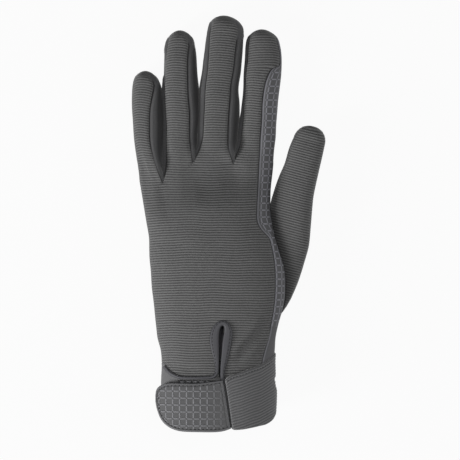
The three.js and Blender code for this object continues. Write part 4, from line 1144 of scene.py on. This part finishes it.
# across, along, width: shares of the hand's sizes
TAPE = np.array([
    (-0.377, 0.236, 0.026),
    (-0.325, 0.212, 0.026),
    (-0.25, 0.197, 0.024),
    (-0.16, 0.195, 0.024),
    (-0.06, 0.196, 0.024),
    (0.012, 0.199, 0.026),
    (0.042, 0.212, 0.03),
    (0.047, 0.232, 0.032),
    (0.044, 0.262, 0.042),
    (0.036, 0.292, 0.058),
    (0.028, 0.324, 0.073),
    (0.028, 0.348, 0.073),
    (0.038, 0.374, 0.064),
    (0.064, 0.394, 0.049),
    (0.098, 0.4, 0.043),
    (0.126, 0.39, 0.049),
    (0.137, 0.37, 0.064),
    (0.132, 0.346, 0.072),
    (0.125, 0.322, 0.073),
    (0.117, 0.294, 0.065),
    (0.106, 0.264, 0.055),
    (0.096, 0.238, 0.045),
    (0.0915, 0.216, 0.037),
    (0.09, 0.182, 0.03),
])


def table_at(table, row):
    """A table's columns at a row's number, whole or between two rows."""
    return follow(np.column_stack([np.arange(len(table)), table]), row)


def tape_path(v):
    """Middle, side direction and width of the tape at shares of its length."""
    row = v * (len(TAPE) - 1)
    sizes = np.array([HAND_WIDTH, PALM_LENGTH, HAND_WIDTH])
    x, y, width = table_at(TAPE, row) * sizes.reshape(3, *[1] * np.ndim(v))
    ahead = table_at(TAPE, np.minimum(row + 0.05, len(TAPE) - 1))
    behind = table_at(TAPE, np.maximum(row - 0.05, 0))
    dx, dy = (ahead[0] - behind[0]) * HAND_WIDTH, (ahead[1] - behind[1]) * PALM_LENGTH
    size = np.hypot(dx, dy)
    return x, y, dy / size, -dx / size, width


def tape_grid(u, v):
    """Tape's top: height goes as one less the fourth power of the distance from its middle,
    with a groove for the stitches."""
    x, y, side_x, side_y, width = tape_path(v)
    place = (u - 0.5) * width
    point = back_point(x + side_x * place, y + side_y * place, LAYER_GAP)
    crown = 1 - np.abs(2 * u - 1) ** 4
    groove = 0.22 * bell((u - TAPE_STITCHES) / 0.06)
    point[..., 2] += TAPE_THICKNESS * crown - groove
    return point


# Polyurethane tape: smooth, close to leather, with a soft gloss along its crown
binding_leather = even_cloth(
    "binding_leather", (1.4, 3.0, 0.5), (0.6, 0.0, 0.35), ("#363639", "#434347"), (0.3, 0.0002)
)
columns = np.linspace(0, 1, 17)
top = grid(tape_grid, columns, np.linspace(0, 1, 261))
under = top[:, ::-1].copy()
under[..., 2] = mix(top[:, -1:, 2], top[:, :1, 2], columns)
away = np.minimum(run(top, 1), run(top, 1, True))
layers = [
    (top, np.stack([top[..., 0], top[..., 1], away, away + 0.1], -1)),
    # painted shade: the underside takes seam distance 0, so it is darkened as much as a seam
    (under, np.stack([top[..., 0], top[..., 1], away * 0, away * 0], -1)),
]
binding = make_piece("vent_binding_tape", [weld(layers)], binding_leather)
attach(binding, "root")
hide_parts("vent_binding")


def thread_material(name, colour):
    """Spun polyester sewing thread: round, matt, slightly darker or paler than the cloth."""
    material, tree, shader = start_material(name, 0.7, sheen=0.2, specular=0.25)
    shader.inputs["Base Color"].default_value = paint(colour)
    return material


dark_thread = thread_material("dark_thread", "#1d1d1f")


def stitches(name, path, pitch, length, radius, material):
    """Threads along a path, one from needle hole to needle hole: five rings of six points,
    whose radius goes as the square root of a cosine of the place along the thread."""
    reach = np.insert(np.cumsum(np.linalg.norm(np.diff(path, axis=0), axis=1)), 0, 0)
    middle = np.arange(pitch / 2, reach[-1] - pitch / 2, pitch)
    holes = [middle - length / 2, middle + length / 2]
    ends = [np.stack([np.interp(hole, reach, c) for c in path.T], -1) for hole in holes]
    along = (ends[1] - ends[0]) / np.linalg.norm(ends[1] - ends[0], axis=1)[:, None]
    side = np.cross(along, (0.0, 0.0, 1.0))
    side /= np.linalg.norm(side, axis=1)[:, None]
    rise = np.cross(side, along)
    share, turn = np.linspace(0, 1, 5), np.arange(6) * math.tau / 6
    girth = radius * np.sqrt(np.cos(math.pi * (share - 0.5)) * 0.95 + 0.05)
    ring = side[:, None] * np.cos(turn)[:, None] + rise[:, None] * np.sin(turn)[:, None]
    points = mix(ends[0][:, None, None], ends[1][:, None, None], share[:, None, None])
    points = points + ring[:, None] * girth[:, None, None]
    ids = np.arange(points[..., 0].size).reshape(len(middle), 5, 6)
    around = np.roll(ids, -1, axis=2)
    sides = np.stack([ids[:, :-1], around[:, :-1], around[:, 1:], ids[:, 1:]], -1).reshape(-1, 4)
    points = points.reshape(-1, 3)
    cloth = np.zeros((len(points), 4))
    layer = (points, cloth, sides, ids[:, 0, ::-1], ids[:, -1])
    return make_piece(name, [layer], material)


seam_line = tape_grid(np.full(400, TAPE_STITCHES), np.linspace(0.02, 0.985, 400))
binding_thread = stitches("vent_binding_thread", seam_line, 2.0, 1.3, 0.3, dark_thread)
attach(binding_thread, "root")


# Loop patch
# A rectangle of dark loop pile on the cuff, under the tab, held by a line of pale zigzag
# stitches along its edge. Its top shows as a narrow strip over the tab.
PATCH_THICKNESS = 0.8


def edge_distance(points, border):
    """Distance of every grid point from the nearest point of a border line."""
    gaps = [np.linalg.norm(row[:, None] - border[None], axis=-1).min(axis=1) for row in points]
    return np.array(gaps)


def rim_of(points):
    """The outer points of a grid, once round."""
    return np.concatenate([points[0], points[:, -1], points[-1, ::-1], points[::-1, 0]])


def slab_patches(place, columns, rows, thickness, round_off, relief=None):
    """A flat layer: place gives its underside from u, v and a lift. Its top rises from the
    edge as a quarter ellipse, and both meet at the edge."""
    low = grid(lambda u, v: place(u, v, 0.0), columns, rows)
    high = grid(lambda u, v: place(u, v, 1.0), columns, rows)
    distance = edge_distance(low, rim_of(low))
    rise = np.sqrt(1 - (1 - np.clip(distance / round_off, 0, 1)) ** 2)
    top = mix(low, high, rise[..., None])
    direction = high - low
    if relief is not None:
        top = top + direction / thickness * relief(columns, rows, low, distance)[..., None]
    under = low[:, ::-1]
    return top, under, distance


# Nylon loop pile: near black, rough, of tiny tangled loops
loop_pile = even_cloth(
    "loop_pile", (2.6, 4.0, 0.8), (0.95, 0.3, 0.1), ("#161617", "#363638"), (1.0, 0.0006)
)


def patch_place(u, v, side):
    """Loop patch over the cuff: a rectangle laid on the back."""
    x = mix(PATCH["left"], PATCH["right"], u) * HAND_WIDTH
    y = mix(PATCH["bottom"], PATCH["top"], v) * PALM_LENGTH
    return back_point(x, y, LAYER_GAP + side * PATCH_THICKNESS)


top, under, distance = slab_patches(
    patch_place, np.linspace(0, 1, 61), np.linspace(0, 1, 61), PATCH_THICKNESS, 0.4
)
cloth_top = np.stack([top[..., 0], top[..., 1], distance, distance + 0.5], -1)
cloth_under = cloth_top[:, ::-1]
layer = weld([(top, cloth_top), (under, cloth_under)])
loop_patch = make_piece("loop_patch_pile", [layer], loop_pile)
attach(loop_patch, "root")
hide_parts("loop_patch")

pale_thread = thread_material("pale_thread", "#77777a")
u = np.linspace(0.03, 0.97, 120)
seam_line = patch_place(u, np.full(120, 0.962) + 0.006 * np.sin(u * 90), 1.0)
patch_thread = stitches("loop_patch_thread", seam_line, 4.0, 3.2, 0.3, pale_thread)
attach(patch_thread, "root")


# Tab
# The end of the strap is a rounded tab of the same grip leather, two layers sewn together
# round the edge. Its hooks hold it on the loop patch.
STRAP_THICKNESS = 1.5
TAB_LIFT = 2 * LAYER_GAP + PATCH_THICKNESS
# across and along of the top edge, then of the bottom edge, from the rounded end
TAB = np.array([
    (-0.441, 0.13, -0.441, 0.105),
    (-0.434, 0.147, -0.428, 0.075),
    (-0.415, 0.16, -0.398, 0.04),
    (-0.38, 0.17, -0.355, 0.017),
    (-0.325, 0.176, -0.299, 0.002),
    (-0.226, 0.176, -0.226, -0.006),
    (-0.11, 0.176, -0.09, -0.008),
    (-0.01, 0.181, 0.03, -0.008),
    (0.05, 0.185, 0.1, -0.004),
    (0.097, 0.188, 0.158, 0.005),
])


def tab_place(u, v, side):
    """Tab over the patch: rows straight between its top and bottom edges."""
    top_x, top_y, low_x, low_y = table_at(TAB, u * (len(TAB) - 1))
    x, y = mix(low_x, top_x, v) * HAND_WIDTH, mix(low_y, top_y, v) * PALM_LENGTH
    return back_point(x, y, TAB_LIFT + side * STRAP_THICKNESS, 3 * (1 - smooth(u)))


def grid_mask(x, y):
    """1 on a raised line of the grip grid and 0 beside it, open at the corners."""
    away_x = np.abs((x + GRID_PITCH / 2) % GRID_PITCH - GRID_PITCH / 2)
    away_y = np.abs((y + GRID_PITCH / 2) % GRID_PITCH - GRID_PITCH / 2)
    upright = smooth((0.52 - away_x) / 0.28) * smooth((away_y - 0.45) / 0.3)
    level = smooth((0.52 - away_y) / 0.28) * smooth((away_x - 0.45) / 0.3)
    return np.maximum(upright, level)


# The first upright line lies here, and the grid runs out over 14 mm from the fade on
TAB_GRID = {"x": -25.24, "y": 21.83, "fade": -3.5, "over": 14.0}
TAB_STITCHES = 1.6  # distance of the stitches from the edge


def tab_relief(columns, rows, low, distance):
    """Grid lines 0.14 mm high and a groove, as a bell curve, under the stitches."""
    x, y = low[..., 0] - TAB_GRID["x"], low[..., 1] - TAB_GRID["y"]
    gone = smooth((low[..., 0] - TAB_GRID["fade"]) / TAB_GRID["over"])
    fade = smooth((distance - 1.9) / 0.5) * (1 - gone)
    groove = -0.3 * bell((distance - TAB_STITCHES) / 0.35)
    groove = groove * smooth((0.97 - columns) / 0.03)
    return 0.14 * grid_mask(x, y) * fade + groove


fade_from = TAB_GRID["fade"] - TAB_GRID["x"]
fade = (fade_from + TAB_GRID["over"], fade_from)
# painted shade: the same leather as the palm, given darker colours and a darker print so it is
# less bright where it curves towards the key light
tab_leather = leather_material("tab_leather", "#3e3e3f", "#4d4d4e", "#6c6c6f", fade)
spread = np.linspace(0, 1, 181) ** 1.25
top, under, distance = slab_patches(
    tab_place, spread, np.linspace(0, 1, 121), STRAP_THICKNESS, 0.9, tab_relief
)
shift = np.array([TAB_GRID["x"], TAB_GRID["y"]])
away = distance[..., None]
cloth_top = np.concatenate([top[..., :2] - shift, away, away + 0.3], -1)
away = away[:, ::-1]
cloth_under = np.concatenate([under[..., :2] - shift, away * 0, away + 0.3], -1)
layer = weld([(top, cloth_top), (under, cloth_under)])
tab = make_piece("strap_tab_leather", [layer], tab_leather)
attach(tab, "root")
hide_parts("strap_tab")

rim = np.concatenate([top[-1, ::-1], top[::-1, 0], top[0]])
ahead = np.gradient(rim[:, :2], axis=0)
inward = np.stack([-ahead[:, 1], ahead[:, 0]], -1)
inward = inward / np.maximum(np.hypot(*ahead.T), 1e-6)[:, None]
spot = rim[:, :2] + TAB_STITCHES * inward
flat = top[..., :2].reshape(-1, 2)
near = np.array([np.argmin(np.sum((flat - s) ** 2, axis=1)) for s in spot])
seam_line = np.column_stack([spot, top.reshape(-1, 3)[near, 2]])
tab_thread = stitches("strap_tab_thread", seam_line, 2.3, 1.3, 0.33, dark_thread)
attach(tab_thread, "root")


# Elastic
# The other half of the strap is woven elastic with ribs along its length. It is sewn under
# the tab's end, goes round the index side of the wrist, and is fixed on the palm side.
ELASTIC_RIB = 1.5
ELASTIC_RELIEF = 0.16
CREASE = 28  # height of the crease over the hem's line
# angle and along of the top edge, then of the bottom edge, from the tab to the palm side
ELASTIC = np.array([
    (85.6, 0.189, 78.5, 0.004),
    (80, 0.207, 75, 0.0),
    (70, 0.219, 66, 0.002),
    (58, 0.233, 56, 0.007),
    (46, 0.243, 46, 0.012),
    (34, 0.257, 34, 0.018),
    (22, 0.269, 22, 0.031),
    (8, 0.28, 8, 0.05),
    (-8, 0.288, -8, 0.072),
    (-24, 0.293, -24, 0.092),
    (-38, 0.297, -38, 0.106),
])


def elastic_place(u, v, side):
    """Elastic round the wrist: it comes down from the tab's height over five stations. At
    the index side it hugs the hand along its top edge, creases at CREASE and stands off below."""
    top_angle, top_y, low_angle, low_y = table_at(ELASTIC, u * (len(ELASTIC) - 1))
    drop = smooth(u * (len(ELASTIC) - 1) / 5)
    lift = mix(TAB_LIFT, LAYER_GAP, drop) + side * STRAP_THICKNESS
    turn, y = mix(low_angle, top_angle, v), mix(low_y, top_y, v) * PALM_LENGTH
    hug = drop * smooth((v - 0.6) / 0.4) * (0.35 + 0.5 * side)
    stand = 0.9 * smooth((26 - y) / 5) - 0.5 * bell((y - CREASE) / 1.1)
    lift = lift - hug + stand * smooth((45 - turn) / 25) * smooth((turn + 40) / 30)
    return hand_point(y, np.radians(turn), lift)


def under_top_edge(columns, rows):
    """Distance from the top edge, square to it, for every column and row: the drop below the
    edge at the same angle round the wrist, times 0.93."""
    u, v = np.meshgrid(columns, rows)
    top_angle, top_y, low_angle, low_y = table_at(ELASTIC, u * (len(ELASTIC) - 1))
    edge = np.column_stack([-ELASTIC[:, 0], ELASTIC[:, 1]])
    over = follow(edge, -mix(low_angle, top_angle, v))[0]
    return (over - mix(low_y, top_y, v)) * PALM_LENGTH * 0.93


def elastic_ribs(columns, rows, low, distance):
    """Ribs along the length: a cosine of the width over ELASTIC_RIB, gone at the edges."""
    wave = np.cos(under_top_edge(columns, rows) * math.tau / ELASTIC_RIB)
    return ELASTIC_RELIEF / 2 * wave * smooth((distance - 0.6) / 0.8)


def elastic_material():
    """Woven polyester and rubber: matt yarn, with painted shade between its ribs."""
    material, tree, shader, cloth, yarn = start_cloth(
        "ribbed_elastic", (1.8, 2.0, 0.7), 0.85, 0.2, 0.2
    )
    place, wave = rib_wave(tree, cloth, ELASTIC_RIB)
    # painted shade: the colour's rib wave is darkest between the ribs
    inputs = {0: wave, 1: 0.36, 2: 0.04}
    raised = node(tree, "ShaderNodeMath", inputs, operation="MULTIPLY_ADD").outputs[0]
    inputs = {0: yarn, 1: 0.9, 2: raised}
    share = node(tree, "ShaderNodeMath", inputs, operation="MULTIPLY_ADD").outputs[0]
    finish_cloth(tree, shader, share, ("#434344", "#6a6a6b"), yarn, 0.5, 0.0003)
    return material


ribbed_elastic = elastic_material()
columns, rows = np.linspace(0, 1, 121), np.linspace(0, 1, 161)
top, under, distance = slab_patches(
    elastic_place, columns, rows, STRAP_THICKNESS, 0.7, elastic_ribs
)
place = under_top_edge(columns, rows)
cloth_top = np.stack([run(top, 1), place, distance, distance + 0.3], -1)
cloth_under = cloth_top[:, ::-1]
layer = weld([(top, cloth_top), (under, cloth_under)])
elastic = make_piece("strap_elastic_rib", [layer], ribbed_elastic)
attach(elastic, "root")
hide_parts("strap_elastic")

u = np.linspace(0.02, 0.62, 300)
seam_line = elastic_place(u, np.full(300, 0.94), 1.02)
elastic_thread = stitches("strap_elastic_thread", seam_line, 1.9, 1.1, 0.3, dark_thread)
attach(elastic_thread, "root")


# Floor, lights and camera
# The glove lies palm down on a white table. Soft light comes from the lower left, weaker
# from the right and from above, and the camera looks straight down.
floor_mesh = bpy.data.meshes.new("floor")
corners = [(x, y, -0.0005) for x, y in ((-3, -3), (3, -3), (3, 3), (-3, 3))]
floor_mesh.from_pydata(corners, [], [(0, 1, 2, 3)])
floor = bpy.data.objects.new("floor", floor_mesh)
bpy.context.scene.collection.objects.link(floor)
white, tree, shader = start_material("white_table", 0.9, specular=0.1)
shader.inputs["Base Color"].default_value = (0.02, 0.02, 0.02, 1)
shader.inputs["Emission Color"].default_value = (1, 1, 1, 1)
shader.inputs["Emission Strength"].default_value = 0.94
floor_mesh.materials.append(white)
floor.visible_diffuse = False

world = bpy.data.worlds.new("studio")
bpy.context.scene.world = world
world.use_nodes = True
world.node_tree.nodes["Background"].inputs["Color"].default_value = (1, 1, 1, 1)
world.node_tree.nodes["Background"].inputs["Strength"].default_value = 0.11
for light_name, place, size, power in (
    ("key", (-1.15, -0.6, 0.55), 0.5, 27.0),
    ("fill", (1.35, -0.1, 0.45), 0.9, 8.0),
    ("top", (0.1, 0.1, 1.6), 0.7, 12.0),
):
    light = bpy.data.lights.new(light_name, "AREA")
    light.size = size
    light.energy = power
    lamp = bpy.data.objects.new(light_name, light)
    bpy.context.scene.collection.objects.link(lamp)
    lamp.location = place
    x, y, z = place
    lamp.rotation_euler = (math.atan2(math.hypot(x, y), z), 0.0, math.atan2(x, -y))

PIXEL = 0.56355 / 1000  # metres to a pixel of the 460-pixel picture
LENS = 400
SENSOR = 36
camera_data = bpy.data.cameras.new("camera")
camera_data.lens = LENS
camera_data.sensor_width = SENSOR
camera = bpy.data.objects.new("camera", camera_data)
bpy.context.scene.collection.objects.link(camera)
camera.location = (1.5 * PIXEL, -7 * PIXEL, 460 * PIXEL * LENS / SENSOR + 0.015)
bpy.context.scene.camera = camera
bpy.context.scene.view_settings.view_transform = "Standard"
